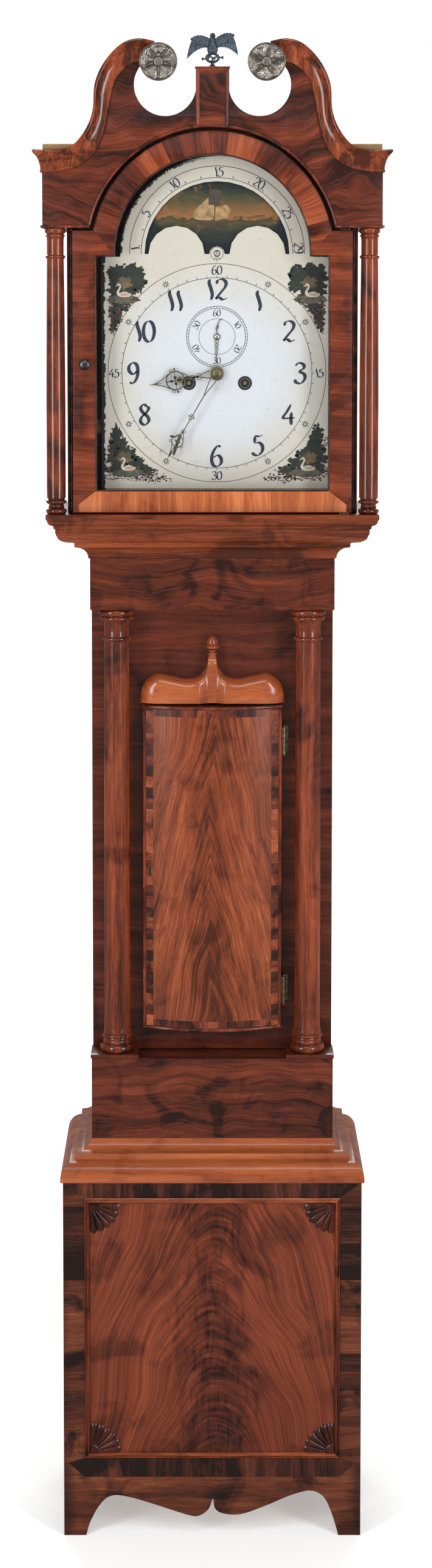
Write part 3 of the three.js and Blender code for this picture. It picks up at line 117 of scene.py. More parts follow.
def meshPiece(name, shape, smooth=35, merge=0.00001, outward=True):
    # a bmesh made into an object, with its doubles merged and its faces turned outwards
    if merge:
        bmesh.ops.remove_doubles(shape, verts=shape.verts, dist=merge)
    if outward:
        bmesh.ops.recalc_face_normals(shape, faces=shape.faces)
    data = bpy.data.meshes.new(name)
    shape.to_mesh(data)
    shape.free()
    return shaded(name, data, smooth)


def shaded(name, data, smooth=35):
    data.shade_smooth()
    data.set_sharp_from_angle(angle=math.radians(smooth))
    piece = bpy.data.objects.new(name, data)
    bpy.context.scene.collection.objects.link(piece)
    return piece


def plainMesh(piece):
    # the evaluated shape as a mesh of its own, with every modifier used up
    graph = bpy.context.evaluated_depsgraph_get()
    data = bpy.data.meshes.new_from_object(piece.evaluated_get(graph), depsgraph=graph)
    for modifier in list(piece.modifiers):
        piece.modifiers.remove(modifier)
    return data


def useUpModifiers(piece, smooth=35):
    data = plainMesh(piece)
    data.shade_smooth()
    data.set_sharp_from_angle(angle=math.radians(smooth))
    piece.data = data
    return piece


def addRings(shape, rings, closedEnds=True, loop=False):
    # rings of points in metres, skinned in order
    made = [[shape.verts.new(point) for point in ring] for ring in rings]
    pairs = list(zip(made, made[1:])) + ([(made[-1], made[0])] if loop else [])
    for near, far in pairs:
        for k in range(len(near)):
            following = (k + 1) % len(near)
            shape.faces.new((near[k], near[following], far[following], far[k]))
    if closedEnds and not loop:
        shape.faces.new(list(reversed(made[0])))
        shape.faces.new(made[-1])


def ringsPiece(name, rings, smooth=35, **kind):
    shape = bmesh.new()
    addRings(shape, rings, **kind)
    return meshPiece(name, shape, smooth)


def addTurned(shape, profile, x, depth, segments=48):
    # profile of (radius, z) from axis to axis, on a vertical axis
    rings = []
    for radius, z in profile:
        radius = max(radius, 0.001)
        rings.append([place(x + radius * math.cos(tau * k / segments),
            depth + radius * math.sin(tau * k / segments), z)
            for k in range(segments)])
    addRings(shape, rings)


def turnedPiece(name, profile, x, depth, segments=48, smooth=35):
    shape = bmesh.new()
    addTurned(shape, profile, x, depth, segments)
    return meshPiece(name, shape, smooth)


def addTurnedForward(shape, profile, x, z, segments=48):
    # profile of (radius, depth) from axis to axis, on a front-to-back axis
    rings = []
    for radius, depth in profile:
        radius = max(radius, 0.001)
        rings.append([place(x + radius * math.cos(tau * k / segments), depth,
            z + radius * math.sin(tau * k / segments))
            for k in range(segments)])
    addRings(shape, rings)


def turnedForwardPiece(name, profile, x, z, segments=48, smooth=35):
    shape = bmesh.new()
    addTurnedForward(shape, profile, x, z, segments)
    return meshPiece(name, shape, smooth)


def addBlock(shape, x0, x1, depth0, depth1, z0, z1):
    corners = [(x0, depth0), (x1, depth0), (x1, depth1), (x0, depth1)]
    addRings(shape, [[place(x, d, z) for x, d in corners] for z in (z0, z1)])


def blockPiece(name, x0, x1, depth0, depth1, z0, z1, edge=0.5):
    shape = bmesh.new()
    addBlock(shape, x0, x1, depth0, depth1, z0, z1)
    bmesh.ops.remove_doubles(shape, verts=shape.verts, dist=0.00001)
    bmesh.ops.bevel(shape, geom=shape.edges[:], offset=edge * mm, segments=2, profile=0.5, affect="EDGES")
    return meshPiece(name, shape, 35, merge=0)


def boardPiece(name, loops, depth0, depth1, edge=0.6, smooth=40):
    # a board cut to an outline in x and z, the first loop outside and the rest holes, with softened edges
    curve = bpy.data.curves.new(name, "CURVE")
    curve.dimensions = "2D"
    curve.fill_mode = "BOTH"
    for number, loop in enumerate(loops):
        area = sum(a[0] * b[1] - b[0] * a[1] for a, b in zip(loop, loop[1:] + loop[:1]))
        wanted = list(loop) if (area > 0) == (number == 0) else list(reversed(loop))
        spline = curve.splines.new("POLY")
        spline.points.add(len(wanted) - 1)
        for point, (x, z) in zip(spline.points, wanted):
            point.co = (x * mm, z * mm, 0, 1)
        spline.use_cyclic_u = True
    curve.offset = -edge * mm
    curve.bevel_depth = edge * mm
    curve.bevel_resolution = 1
    curve.extrude = (depth1 - depth0) / 2 * mm - edge * mm
    holder = bpy.data.objects.new(name + "Curve", curve)
    bpy.context.scene.collection.objects.link(holder)
    data = plainMesh(holder)
    bpy.data.objects.remove(holder)
    middle = backFace - (depth0 + depth1) / 2 * mm
    data.transform(Matrix(((1, 0, 0, 0), (0, 0, -1, middle), (0, 1, 0, 0), (0, 0, 0, 1))))
    shape = bmesh.new()
    shape.from_mesh(data)
    bpy.data.meshes.remove(data)
    return meshPiece(name, shape, smooth, merge=0.000002)


def wrapRings(profile, half, depth):
    # a moulding run along the left side, the front and the right side; profile of (outset, z)
    stations = [
        lambda o, z: place(-half - o, 0, z), lambda o, z: place(-half - o, depth + o, z), lambda o,
        z: place(half + o, depth + o, z), lambda o, z: place(half + o, 0, z), ]
    return [[station(o, z) for o, z in profile] for station in stations]


def dress(piece, body, material, *nodes, slot=None):
    # its finish, the body that it rides on and the CAD nodes that it stands for
    piece.data.materials.clear()
    piece.data.materials.append(material)
    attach(piece, body)
    if nodes:
        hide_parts(*nodes)
    return piece


# node trees: copies round a circle, and a bead along a path

def newTree(name, inputs):
    tree = bpy.data.node_groups.new(name, "GeometryNodeTree")
    tree.interface.new_socket("Geometry", in_out="OUTPUT", socket_type="NodeSocketGeometry")
    sockets = {}
    for label, kind in inputs.items():
        sockets[label] = tree.interface.new_socket(label, in_out="INPUT",
            socket_type="NodeSocket" + kind).identifier
    start = tree.nodes.new("NodeGroupInput")
    end = tree.nodes.new("NodeGroupOutput")
    return tree, sockets, start, end


def linked(tree, kind, *joins, **settings):
    # a node with its inputs joined, in order, to sockets or set to values
    made = tree.nodes.new(kind)
    for key, value in settings.items():
        setattr(made, key, value)
    for where, what in joins:
        socket = made.inputs[where]
        if isinstance(what, bpy.types.NodeSocket):
            tree.links.new(what, socket)
        else:
            socket.default_value = what
    return made


def copiesTree():
    # copies of one object in a ring, each turned to face outwards, in the plane of x and z
    tree, sockets, start, end = newTree("copiesInARing", {
        "Piece": "Object", "Count": "Int", "Radius": "Float", "Start": "Float", "Sweep": "Float",
        "Across": "Float", "Forward": "Float", "Up": "Float", "Finish": "Material"})
    line = linked(tree, "GeometryNodeMeshLine", ("Count", start.outputs["Count"]), ("Offset", (0, 0, 0)))
    index = linked(tree, "GeometryNodeInputIndex")
    steps = linked(tree, "ShaderNodeMath", (0, start.outputs["Sweep"]), (1, start.outputs["Count"]),
        operation="DIVIDE")
    turned = linked(tree, "ShaderNodeMath", (0, index.outputs[0]), (1, steps.outputs[0]),
        operation="MULTIPLY")
    angle = linked(tree, "ShaderNodeMath", (0, turned.outputs[0]), (1, start.outputs["Start"]),
        operation="ADD")
    sine = linked(tree, "ShaderNodeMath", (0, angle.outputs[0]), operation="SINE")
    cosine = linked(tree, "ShaderNodeMath", (0, angle.outputs[0]), operation="COSINE")
    sideways = linked(tree, "ShaderNodeMath", (0, sine.outputs[0]), (1, start.outputs["Radius"]),
        (2, start.outputs["Across"]), operation="MULTIPLY_ADD")
    upwards = linked(tree, "ShaderNodeMath", (0, cosine.outputs[0]), (1, start.outputs["Radius"]),
        (2, start.outputs["Up"]), operation="MULTIPLY_ADD")
    spot = linked(tree, "ShaderNodeCombineXYZ", (0, sideways.outputs[0]), (1, start.outputs["Forward"]),
        (2, upwards.outputs[0]))
    points = linked(tree, "GeometryNodeSetPosition", ("Geometry", line.outputs[0]),
        ("Position", spot.outputs[0]))
    turn = linked(tree, "ShaderNodeCombineXYZ", (1, angle.outputs[0]))
    info = linked(tree, "GeometryNodeObjectInfo", ("Object", start.outputs["Piece"]))
    copies = linked(tree, "GeometryNodeInstanceOnPoints", ("Points", points.outputs[0]),
        ("Instance", info.outputs["Geometry"]),
        ("Rotation", turn.outputs[0]))
    real = linked(tree, "GeometryNodeRealizeInstances", (0, copies.outputs[0]))
    finished = linked(tree, "GeometryNodeSetMaterial", (0, real.outputs[0]),
        ("Material", start.outputs["Finish"]))
    tree.links.new(finished.outputs[0], end.inputs[0])
    return tree, sockets


def beadTree():
    # a round bead, or a twisted line, swept along a curve
    tree, sockets, start, end = newTree("beadAlongAPath", {
        "Path": "Object", "Radius": "Float", "Sides": "Int", "Step": "Float", "Twist": "Float",
        "Lobes": "Float",
        "Finish": "Material"})
    info = linked(tree, "GeometryNodeObjectInfo", ("Object", start.outputs["Path"]))
    even = linked(tree, "GeometryNodeResampleCurve", ("Curve", info.outputs["Geometry"]),
        ("Length", start.outputs["Step"]), mode="LENGTH")
    along = linked(tree, "GeometryNodeSplineParameter")
    tilt = linked(tree, "ShaderNodeMath", (0, along.outputs["Length"]), (1, start.outputs["Twist"]),
        operation="MULTIPLY")
    tilted = linked(tree, "GeometryNodeSetCurveTilt", ("Curve", even.outputs[0]),
        ("Tilt", tilt.outputs[0]))
    ring = linked(tree, "GeometryNodeCurvePrimitiveCircle", ("Resolution", start.outputs["Sides"]),
        ("Radius", start.outputs["Radius"]))
    round_ = linked(tree, "GeometryNodeSplineParameter")
    turns = linked(tree, "ShaderNodeMath", (0, round_.outputs["Factor"]), (1, tau * 3),
        operation="MULTIPLY")
    wave = linked(tree, "ShaderNodeMath", (0, turns.outputs[0]), operation="SINE")
    grown = linked(tree, "ShaderNodeMath", (0, wave.outputs[0]), (1, start.outputs["Lobes"]), (2, 1.0),
        operation="MULTIPLY_ADD")
    spot = linked(tree, "GeometryNodeInputPosition")
    scaled = linked(tree, "ShaderNodeVectorMath", (0, spot.outputs[0]), ("Scale", grown.outputs[0]),
        operation="SCALE")
    section = linked(tree, "GeometryNodeSetPosition", ("Geometry", ring.outputs[0]),
        ("Position", scaled.outputs[0]))
    swept = linked(tree, "GeometryNodeCurveToMesh", ("Curve", tilted.outputs[0]),
        ("Profile Curve", section.outputs[0]),
        ("Fill Caps", True))
    real = linked(tree, "GeometryNodeRealizeInstances", (0, swept.outputs[0]))
    finished = linked(tree, "GeometryNodeSetMaterial", (0, real.outputs[0]),
        ("Material", start.outputs["Finish"]))
    tree.links.new(finished.outputs[0], end.inputs[0])
    return tree, sockets


ringTree, ringSockets = copiesTree()
pathTree, pathSockets = beadTree()


def grownMesh(name, tree, sockets, values, smooth=35):
    # the tree's result as a plain mesh on an object of its own
    holder = bpy.data.objects.new(name + "Holder", bpy.data.meshes.new(name + "Holder"))
    bpy.context.scene.collection.objects.link(holder)
    modifier = holder.modifiers.new("grow", "NODES")
    modifier.node_group = tree
    for label, value in values.items():
        modifier[sockets[label]] = value
    data = plainMesh(holder)
    bpy.data.objects.remove(holder)
    shape = bmesh.new()
    shape.from_mesh(data)
    bpy.data.meshes.remove(data)
    return meshPiece(name, shape, smooth, merge=0.000002)


def ringOfCopies(name, unit, material, count, radius, x, depth, z, start=0.0, sweep=tau, smooth=35):
    # the unit is drawn about its own origin, upwards along z; it is thrown away afterwards
    piece = grownMesh(name, ringTree, ringSockets, {
        "Piece": unit, "Count": count, "Radius": radius * mm, "Start": start, "Sweep": sweep,
        "Across": x * mm, "Forward": backFace - depth * mm, "Up": z * mm, "Finish": material}, smooth)
    bpy.data.objects.remove(unit)
    return piece


def beadPiece(name, points, radius, material, sides=12, step=3.0, closed=False, twist=0.0, lobes=0.0,
        smooth=50):
    # points are (x, depth, z)
    curve = bpy.data.curves.new(name + "Path", "CURVE")
    curve.dimensions = "3D"
    curve.twist_mode = "Z_UP" if not twist else "MINIMUM"
    spline = curve.splines.new("POLY")
    spline.points.add(len(points) - 1)
    for point, spot in zip(spline.points, points):
        point.co = (*place(*spot), 1)
    spline.use_cyclic_u = closed
    path = bpy.data.objects.new(name + "Path", curve)
    bpy.context.scene.collection.objects.link(path)
    piece = grownMesh(name, pathTree, pathSockets, {
        "Path": path, "Radius": radius * mm, "Sides": sides, "Step": step * mm, "Twist": twist,
        "Lobes": lobes,
        "Finish": material}, smooth)
    bpy.data.objects.remove(path)
    return piece


def joined(name, pieces, smooth=35):
    # several pieces made one object, each keeping its closed shape and its finish
    shape = bmesh.new()
    materials = []
    for piece in pieces:
        start = len(shape.faces)
        shape.from_mesh(piece.data)
        shape.faces.ensure_lookup_table()
        finish = piece.data.materials[0] if piece.data.materials else None
        if finish not in materials:
            materials.append(finish)
        for face in shape.faces[start:]:
            face.material_index = materials.index(finish)
        old = piece.data
        bpy.data.objects.remove(piece)
        bpy.data.meshes.remove(old)
    data = bpy.data.meshes.new(name)
    shape.to_mesh(data)
    shape.free()
    for finish in materials:
        if finish:
            data.materials.append(finish)
    return shaded(name, data, smooth)


# helpers that make finishes

def tone(red, green, blue):
    # a colour as it is seen, turned to linear light
    return tuple((c / 255 / 12.92) if c <= 10 else ((c / 255 + 0.055) / 1.055) ** 2.4
        for c in (red, green, blue)) + (1.0,)


class Finish:
    # a node material, and short names for its nodes
    def __init__(self, name):
        self.material = bpy.data.materials.new(name)
        self.material.use_nodes = True
        self.tree = self.material.node_tree
        self.shader = self.tree.nodes["Principled BSDF"]

    def node(self, kind, *joins, **settings):
        return linked(self.tree, kind, *joins, **settings)

    def math(self, operation, *values, clamp=False):
        return self.node("ShaderNodeMath", *enumerate(values), operation=operation,
            use_clamp=clamp).outputs[0]

    def times(self, *values):
        return self.math("MULTIPLY", *values)

    def plus(self, *values):
        return self.math("ADD", *values)

    def minus(self, *values, clamp=False):
        return self.math("SUBTRACT", *values, clamp=clamp)

    def over(self, *values):
        return self.math("DIVIDE", *values)

    def vector(self, operation, *values):
        return self.node("ShaderNodeVectorMath", *enumerate(values), operation=operation).outputs[0]

    def combine(self, x, y, z):
        return self.node("ShaderNodeCombineXYZ", (0, x), (1, y), (2, z)).outputs[0]

    def spot(self):
        # object coordinates, in millimetres
        where = self.node("ShaderNodeTexCoord").outputs["Object"]
        return self.node("ShaderNodeVectorMath", (0, where), ("Scale", 1000.0),
            operation="SCALE").outputs[0]

    def split(self, vector):
        return self.node("ShaderNodeSeparateXYZ", (0, vector)).outputs

    def noise(self, vector, scale, detail=3.0, rough=0.55, warp=0.0):
        return self.node("ShaderNodeTexNoise", ("Vector", vector), ("Scale", scale), ("Detail", detail),
            ("Roughness", rough), ("Distortion", warp)).outputs[0]

    def chance(self, value):
        return self.node("ShaderNodeTexWhiteNoise", ("W", value), noise_dimensions="1D").outputs["Value"]

    def spread(self, value, low, high, newLow=0.0, newHigh=1.0):
        return self.node("ShaderNodeMapRange", (0, value), (1, low), (2, high), (3, newLow), (4, newHigh),
            interpolation_type="SMOOTHSTEP").outputs[0]

    def ramp(self, value, stops):
        made = self.node("ShaderNodeValToRGB", (0, value))
        band = made.color_ramp
        while len(band.elements) < len(stops):
            band.elements.new(0.5)
        for element, (at, colour) in zip(band.elements, stops):
            element.position = at
            element.color = colour
        return made.outputs[0]

    def blend(self, factor, one, other):
        return self.node("ShaderNodeMix", (0, factor), (6, one), (7, other), data_type="RGBA").outputs[2]

    def bump(self, height, distance, strength=1.0, under=None):
        joins = [("Height", height), ("Distance", distance * mm), ("Strength", strength)]
        if under:
            joins.append(("Normal", under))
        return self.node("ShaderNodeBump", *joins).outputs[0]

    def use(self, **values):
        for label, value in values.items():
            socket = self.shader.inputs[label.replace("_", " ")]
            if isinstance(value, bpy.types.NodeSocket):
                self.tree.links.new(value, socket)
            else:
                socket.default_value = value
        return self.material


mahoganyTones = {
    "red": [(0.22, tone(36, 14, 9)), (0.42, tone(84, 34, 18)), (0.6, tone(120, 54, 29)),
        (0.8, tone(152, 78, 45))],
    "orange": [(0.2, tone(62, 26, 13)), (0.4, tone(120, 55, 28)), (0.6, tone(158, 84, 46)),
        (0.82, tone(192, 116, 70))],
    "brown": [(0.22, tone(28, 13, 9)), (0.42, tone(64, 29, 17)), (0.62, tone(98, 48, 27)),
        (0.8, tone(130, 71, 42))],
    "dark": [(0.25, tone(16, 7, 6)), (0.45, tone(42, 16, 10)), (0.65, tone(70, 29, 18)),
        (0.82, tone(98, 45, 28))],
    "raw": [(0.2, tone(106, 76, 46)), (0.45, tone(142, 108, 70)), (0.65, tone(168, 134, 92)),
        (0.85, tone(190, 158, 116))],
}


def wood(name, tones="red", along="z", bands=1.0, wave=6.0, blotch=0.35, blotchSize=90.0, figure=None,
        centre=(0.0, 0.0), size=(100.0, 300.0), patch=0.0, patchBand=0.25, gloss=0.3, coat=0.35, seed=0.0,
        contrast=1.0, edgeShade=None, shift=0.0, fineShare=0.38, heart=0.0, heartWide=0.3):
    f = Finish(name)
    spot = f.spot()
    x, y, z = f.split(spot)
    # u runs across the grain and v along it, both in millimetres
    if figure == "radial":
        dx, dz = f.minus(x, centre[0]), f.minus(z, centre[1])
        v = f.math("SQRT", f.plus(f.times(dx, dx), f.times(dz, dz)))
        u = f.times(f.math("ARCTAN2", dx, dz), size[0])
        w = y
    elif figure in ("fountain", "feather"):
        dx, dz = f.minus(x, centre[0]), f.minus(z, centre[1])
        sideways = f.over(f.math("ABSOLUTE", f.plus(dx,
            f.times(f.minus(f.noise(f.vector("ADD", spot, (seed * 31, 0, 7)), 0.006, 1.0), 0.5),
                size[0] * 0.45))), size[0])
        fall = f.times(f.math("POWER", sideways, 1.9 if figure == "fountain" else 1.6),
            size[1] * (1.1 if figure == "fountain" else 0.7))
        lift = f.times(f.math("POWER", f.minus(1.0, sideways, clamp=True), 3.0),
            size[1] * (0.0 if figure == "fountain" else 0.2))
        u = f.times(f.minus(f.plus(dz, fall), f.times(lift, 1.0)), 0.34)
        v = f.times(dx, 0.9)
        w = y
    else:
        order = {"x": (z, x, y), "z": (x, z, y), "y": (z, y, x)}[along]
        u, v, w = order
    if patch:
        # short pieces of cross-grain veneer, each from its own place in the log
        number = f.math("FLOOR", f.over(f.plus(u, 4000.0 + seed), patch))
        lot = f.chance(f.plus(number, seed))
    slow = f.vector("ADD", spot, (seed * 13.0, seed * 7.0, seed * 29.0))
    u = f.plus(u, f.times(f.minus(f.noise(slow, 0.008, 2.0), 0.5), wave * 4))
    field = f.combine(f.plus(u, seed * 11.0), w, f.plus(f.times(v, 0.055),
        f.times(lot, 173.0) if patch else seed))
    broad = f.noise(field, 0.045 * bands, 3.0, 0.6, 0.4)
    fineGrain = f.noise(field, 0.42, 4.0, 0.65, 0.2)
    streak = f.plus(f.times(broad, 1.0 - fineShare), f.times(fineGrain, fineShare))
    streak = f.plus(f.times(f.minus(streak, 0.5), 1.5 * contrast), 0.5 + shift)
    cloud = f.noise(slow, 1.0 / blotchSize, 3.0, 0.6, 0.8)
    streak = f.minus(streak, f.times(f.spread(cloud, 0.5, 0.68), blotch * 0.5))
    if patch:
        streak = f.plus(streak, f.times(f.minus(lot, 0.55), patchBand))
    if heart:
        # the darker heart of the crotch, ragged at its sides, with paler flames licking into it
        ragged = f.noise(f.combine(x, seed, f.times(z, 0.4)), 0.03, 4.0, 0.6, 0.8)
        flame = f.noise(f.combine(f.times(x, 1.6), seed + 5.0, f.times(z, 0.25)), 0.05, 4.0, 0.62, 1.5)
        inside = f.minus(f.plus(heartWide, f.times(f.minus(ragged, 0.5), 0.9)), sideways)
        inside = f.times(f.spread(inside, -0.06, 0.16), f.spread(flame, 0.36, 0.56, 1.0, 0.45))
        streak = f.minus(streak, f.times(inside, heart))
    colour = f.ramp(streak, mahoganyTones[tones])
    pores = f.noise(f.combine(u, w, f.times(v, 0.09)), 2.4, 2.0, 0.5)
    deep = f.spread(pores, 0.36, 0.28)
    colour = f.blend(f.times(deep, 0.5), colour, tone(24, 10, 8))
    # painted shade: the colour darkens towards the given edges, ragged by the cloud, where the board meets
    # its neighbours
    if edgeShade:
        low, high, lowZ, highZ, reach = edgeShade
        near = f.math("MINIMUM", f.math("MINIMUM", f.minus(x, low), f.minus(high, x)),
            f.math("MINIMUM", f.minus(z, lowZ), f.minus(highZ, z)))
        near = f.plus(near, f.times(f.minus(cloud, 0.5), reach))
        colour = f.blend(f.spread(near, reach, 0.0, 0.0, 0.72), colour, tone(26, 10, 9))
    scuffs = f.noise(slow, 0.06, 4.0, 0.7)
    rough = f.spread(scuffs, 0.3, 0.75, gloss - 0.06, gloss + 0.12)
    ripple = f.bump(f.noise(slow, 0.03, 2.0), 0.6, 0.25)
    normal = f.bump(f.minus(f.times(fineGrain, 0.6), deep), 0.1, 0.12, ripple)
    return f.use(Base_Color=colour, Roughness=rough, Normal=normal, Coat_Weight=coat, Coat_Roughness=0.12,
        Specular_IOR_Level=0.2)


def metal(name, bright, dull, rough=0.35, patina=0.5, size=18.0, metallic=1.0, grit=0.25, spots=None):
    f = Finish(name)
    spot = f.spot()
    cloud = f.noise(spot, 1.0 / size, 4.0, 0.62, 0.6)
    speck = f.noise(spot, 6.0 / size, 3.0, 0.6)
    mix = f.plus(f.times(cloud, 0.65), f.times(speck, 0.35))
    colour = f.ramp(mix, [(0.3, dull), (0.5, tuple((a * (1 - patina * 0.5) + b * patina * 0.5) for a,
        b in zip(bright, dull))), (0.72, bright)])
    if spots:
        colour = f.blend(f.spread(f.noise(spot, 3.0 / size, 2.0), 0.6, 0.7), colour, spots)
    normal = f.bump(speck, 0.15, grit)
    return f.use(Base_Color=colour, Metallic=metallic, Roughness=f.spread(cloud, 0.3, 0.7, rough + 0.12,
        rough - 0.04), Normal=normal)


def paint(name, base, other, rough=0.4, size=60.0, wear=0.0, grain=0.1, wearAndShade=None):
    f = Finish(name)
    spot = f.spot()
    cloud = f.noise(spot, 1.0 / size, 4.0, 0.6, 0.5)
    colour = f.ramp(cloud, [(0.3, other), (0.62, base)])
    if wearAndShade:
        colour = f.blend(f.spread(f.noise(spot, 9.0 / size, 4.0, 0.7), 0.66 - wear, 0.72 - wear), colour,
            wearAndShade)
    normal = f.bump(f.noise(spot, 14.0 / size, 3.0), 0.1, grain)
    return f.use(Base_Color=colour, Roughness=rough, Normal=normal)


# camera, light and floor

stageSettings = {
    "eye": (-0.0083, -4.067, 1.908), "tilt": 4.5, "lens": 60.764, "shift": (0.00582, -0.17694),
    "boxSide": 2.1, "boxForward": 2.5, "boxHeight": 1.95, "boxSize": (0.75, 2.3), "boxPower": 60.0,
    "topPower": 18.0, "worldLight": 0.26,
}


def makeStage(s):
    scene = bpy.context.scene
    view = bpy.data.cameras.new("camera")
    camera = bpy.data.objects.new("camera", view)
    scene.collection.objects.link(camera)
    camera.location = s["eye"]
    camera.rotation_euler = (math.radians(90 - s["tilt"]), 0, 0)
    view.lens = s["lens"]
    view.sensor_width = 36.0
    view.shift_x, view.shift_y = s["shift"]
    view.clip_end = 100.0
    scene.camera = camera
    scene.view_settings.view_transform = "Standard"
    middle = Vector((0, 0, 1.2))
    lamps = [("softBoxLeft", (-s["boxSide"], -s["boxForward"], s["boxHeight"]), s["boxSize"],
        s["boxPower"]),
        ("softBoxRight", (s["boxSide"], -s["boxForward"], s["boxHeight"]), s["boxSize"], s["boxPower"]),
        ("topBox", (0, -1.9, 3.5), (1.6, 0.7), s["topPower"]),
        ("backBox", (0, 2.2, 2.6), (2.4, 1.0), 40.0)]
    for name, spot, size, power in lamps:
        lamp = bpy.data.lights.new(name, "AREA")
        lamp.shape = "RECTANGLE"
        lamp.size, lamp.size_y = size
        lamp.energy = power
        holder = bpy.data.objects.new(name, lamp)
        scene.collection.objects.link(holder)
        holder.location = spot
        holder.rotation_euler = (middle - Vector(spot)).to_track_quat("-Z", "Y").to_euler()
    world = bpy.data.worlds.new("world")
    scene.world = world
    world.use_nodes = True
    tree = world.node_tree
    background = tree.nodes["Background"]
    background.inputs["Color"].default_value = (1, 1, 1, 1)
    path = linked(tree, "ShaderNodeLightPath")
    strength = linked(tree, "ShaderNodeMapRange", (0, path.outputs["Is Camera Ray"]),
        (3, s["worldLight"]), (4, 1.0))
    tree.links.new(strength.outputs[0], background.inputs["Strength"])
    shape = bmesh.new()
    bmesh.ops.create_grid(shape, x_segments=1, y_segments=1, size=40.0)
    floor = meshPiece("floor", shape, merge=0, outward=False)
    f = Finish("paleFloor")
    distance = f.node("ShaderNodeVectorMath", (0, f.spot()), operation="LENGTH").outputs["Value"]
    glow = f.spread(distance, 150.0, 1500.0, 0.35, 1.0)
    f.use(Base_Color=(0.86, 0.86, 0.86, 1), Roughness=0.7, Emission_Color=(1, 1, 1, 1),
        Emission_Strength=glow)
    floor.data.materials.append(f.material)
    floor.visible_glossy = False


makeStage(stageSettings)
print("stage: camera and light")

# the finishes that every piece draws on

woods = {
    # painted shade darkens the front board towards its sides, its top under the moulding and its feet
    "baseBoard": wood("baseBoardMahogany", "brown", "x", blotch=0.5, seed=1.0, shift=0.07,
        edgeShade=(-229, 229, -40, 600, 26)),
    "basePanel": wood("crotchPanelVeneer", "red", figure="fountain", centre=(2.0, 130.0),
        size=(190.0, 400.0), wave=2.5, blotch=0.25, bands=0.7, seed=2.0, gloss=0.33, contrast=0.75,
        fineShare=0.62, heart=0.2, heartWide=0.32),
    # painted shade darkens the upright borders towards the base's left edge
    "baseBorderUpright": wood("baseBorderUprightVeneer", "brown", "x", patch=58.0, patchBand=0.5,
        blotch=0.6, blotchSize=60, seed=3.0, shift=-0.13, edgeShade=(-240, 400, -20, 800, 22)),
    "baseBorderLevel": wood("baseBorderLevelVeneer", "brown", "z", patch=92.0, patchBand=0.35, blotch=0.5,
        seed=4.0, shift=-0.1),
    "moulding": wood("mouldingMahogany", "orange", "x", wave=2.0, blotch=0.25, seed=5.0, contrast=0.7,
        shift=-0.17),
    "baseMoulding": wood("baseMouldingMahogany", "orange", "x", wave=2.0, blotch=0.2, seed=5.0,
        contrast=0.6, shift=0.02),
    "mouldingDark": wood("neckMahogany", "orange", "z", wave=10.0, blotch=0.6, blotchSize=55, seed=6.0,
        shift=-0.18, gloss=0.22, coat=0.5),
    "frieze": wood("friezeVeneer", "red", "x", wave=14.0, bands=0.8, blotch=0.35, blotchSize=70, seed=7.0,
        shift=-0.1, contrast=0.85),
    "waistBoard": wood("waistBoardMahogany", "red", "x", wave=5.0, blotch=0.2, seed=8.0, bands=1.3,
        contrast=0.55, shift=-0.1),
    "column": wood("columnMahogany", "red", "z", wave=4.0, blotch=0.4, blotchSize=120, seed=9.0,
        gloss=0.24, coat=0.5, shift=-0.02),
    # a darker copy of the mahogany: darker wood on the case sides, and painted shade where it lines the
    # set-back stile strips, the frame behind the hood door and the lip of the glazed opening
    "side": wood("darkShadedMahogany", "dark", "x", wave=9.0, bands=1.4, blotch=0.5, seed=10.0, contrast=1.3),
    "door": wood("featherDoorVeneer", "orange", figure="feather", centre=(0.0, 770.0),
        size=(104.0, 480.0), wave=3.0, bands=0.8, blotch=0.14, blotchSize=60, seed=11.0, gloss=0.3,
        coat=0.4, contrast=0.85, fineShare=0.55, heart=0.13, heartWide=0.3, shift=-0.13),
    "doorBandUpright": wood("doorBandUprightVeneer", "red", "x", patch=17.0, patchBand=0.5, blotch=0.5,
        blotchSize=40, seed=12.0, gloss=0.4),
    "doorBandLevel": wood("doorBandLevelVeneer", "red", "z", patch=30.0, patchBand=0.4, blotch=0.5,
        blotchSize=40, seed=13.0, gloss=0.4),
    "bead": wood("beadMahogany", "red", "z", wave=2.0, blotch=0.5, seed=14.0, shift=-0.06),
    "beadLight": wood("beadLightMahogany", "orange", "x", wave=2.0, blotch=0.3, seed=15.0, shift=-0.08),
    "carved": wood("carvedMahogany", "dark", "z", wave=2.0, blotch=0.3, seed=16.0, gloss=0.3, shift=0.06),
    "tympanum": wood("tympanumVeneer", "red", "x", wave=30.0, bands=0.9, blotch=0.35, blotchSize=120,
        seed=17.0, gloss=0.33, shift=-0.16),
    "hoodDoor": wood("hoodDoorVeneer", "red", "x", wave=5.0, bands=1.1, blotch=0.3, seed=18.0,
        contrast=0.7, shift=-0.03),
    "hoodArch": wood("hoodArchVeneer", "red", figure="radial", size=(163.0, 1.0), patch=47.0,
        patchBand=0.28, wave=3.0, blotch=0.4, seed=19.0, centre=(0.0, edges("dial")["z0"] + 355.0)),
    "hoodRail": wood("hoodRailVeneer", "orange", "z", wave=4.0, bands=1.3, blotch=0.3, seed=20.0,
        shift=0.09, contrast=0.75),
    "deal": wood("dealBoards", "raw", "z", wave=10.0, bands=1.4, blotch=0.1, seed=21.0, gloss=0.7,
        coat=0.0, contrast=0.8),
    "dealLevel": wood("dealBoardsLevel", "raw", "x", wave=10.0, bands=1.4, blotch=0.1, seed=22.0,
        gloss=0.7, coat=0.0, contrast=0.8),
}
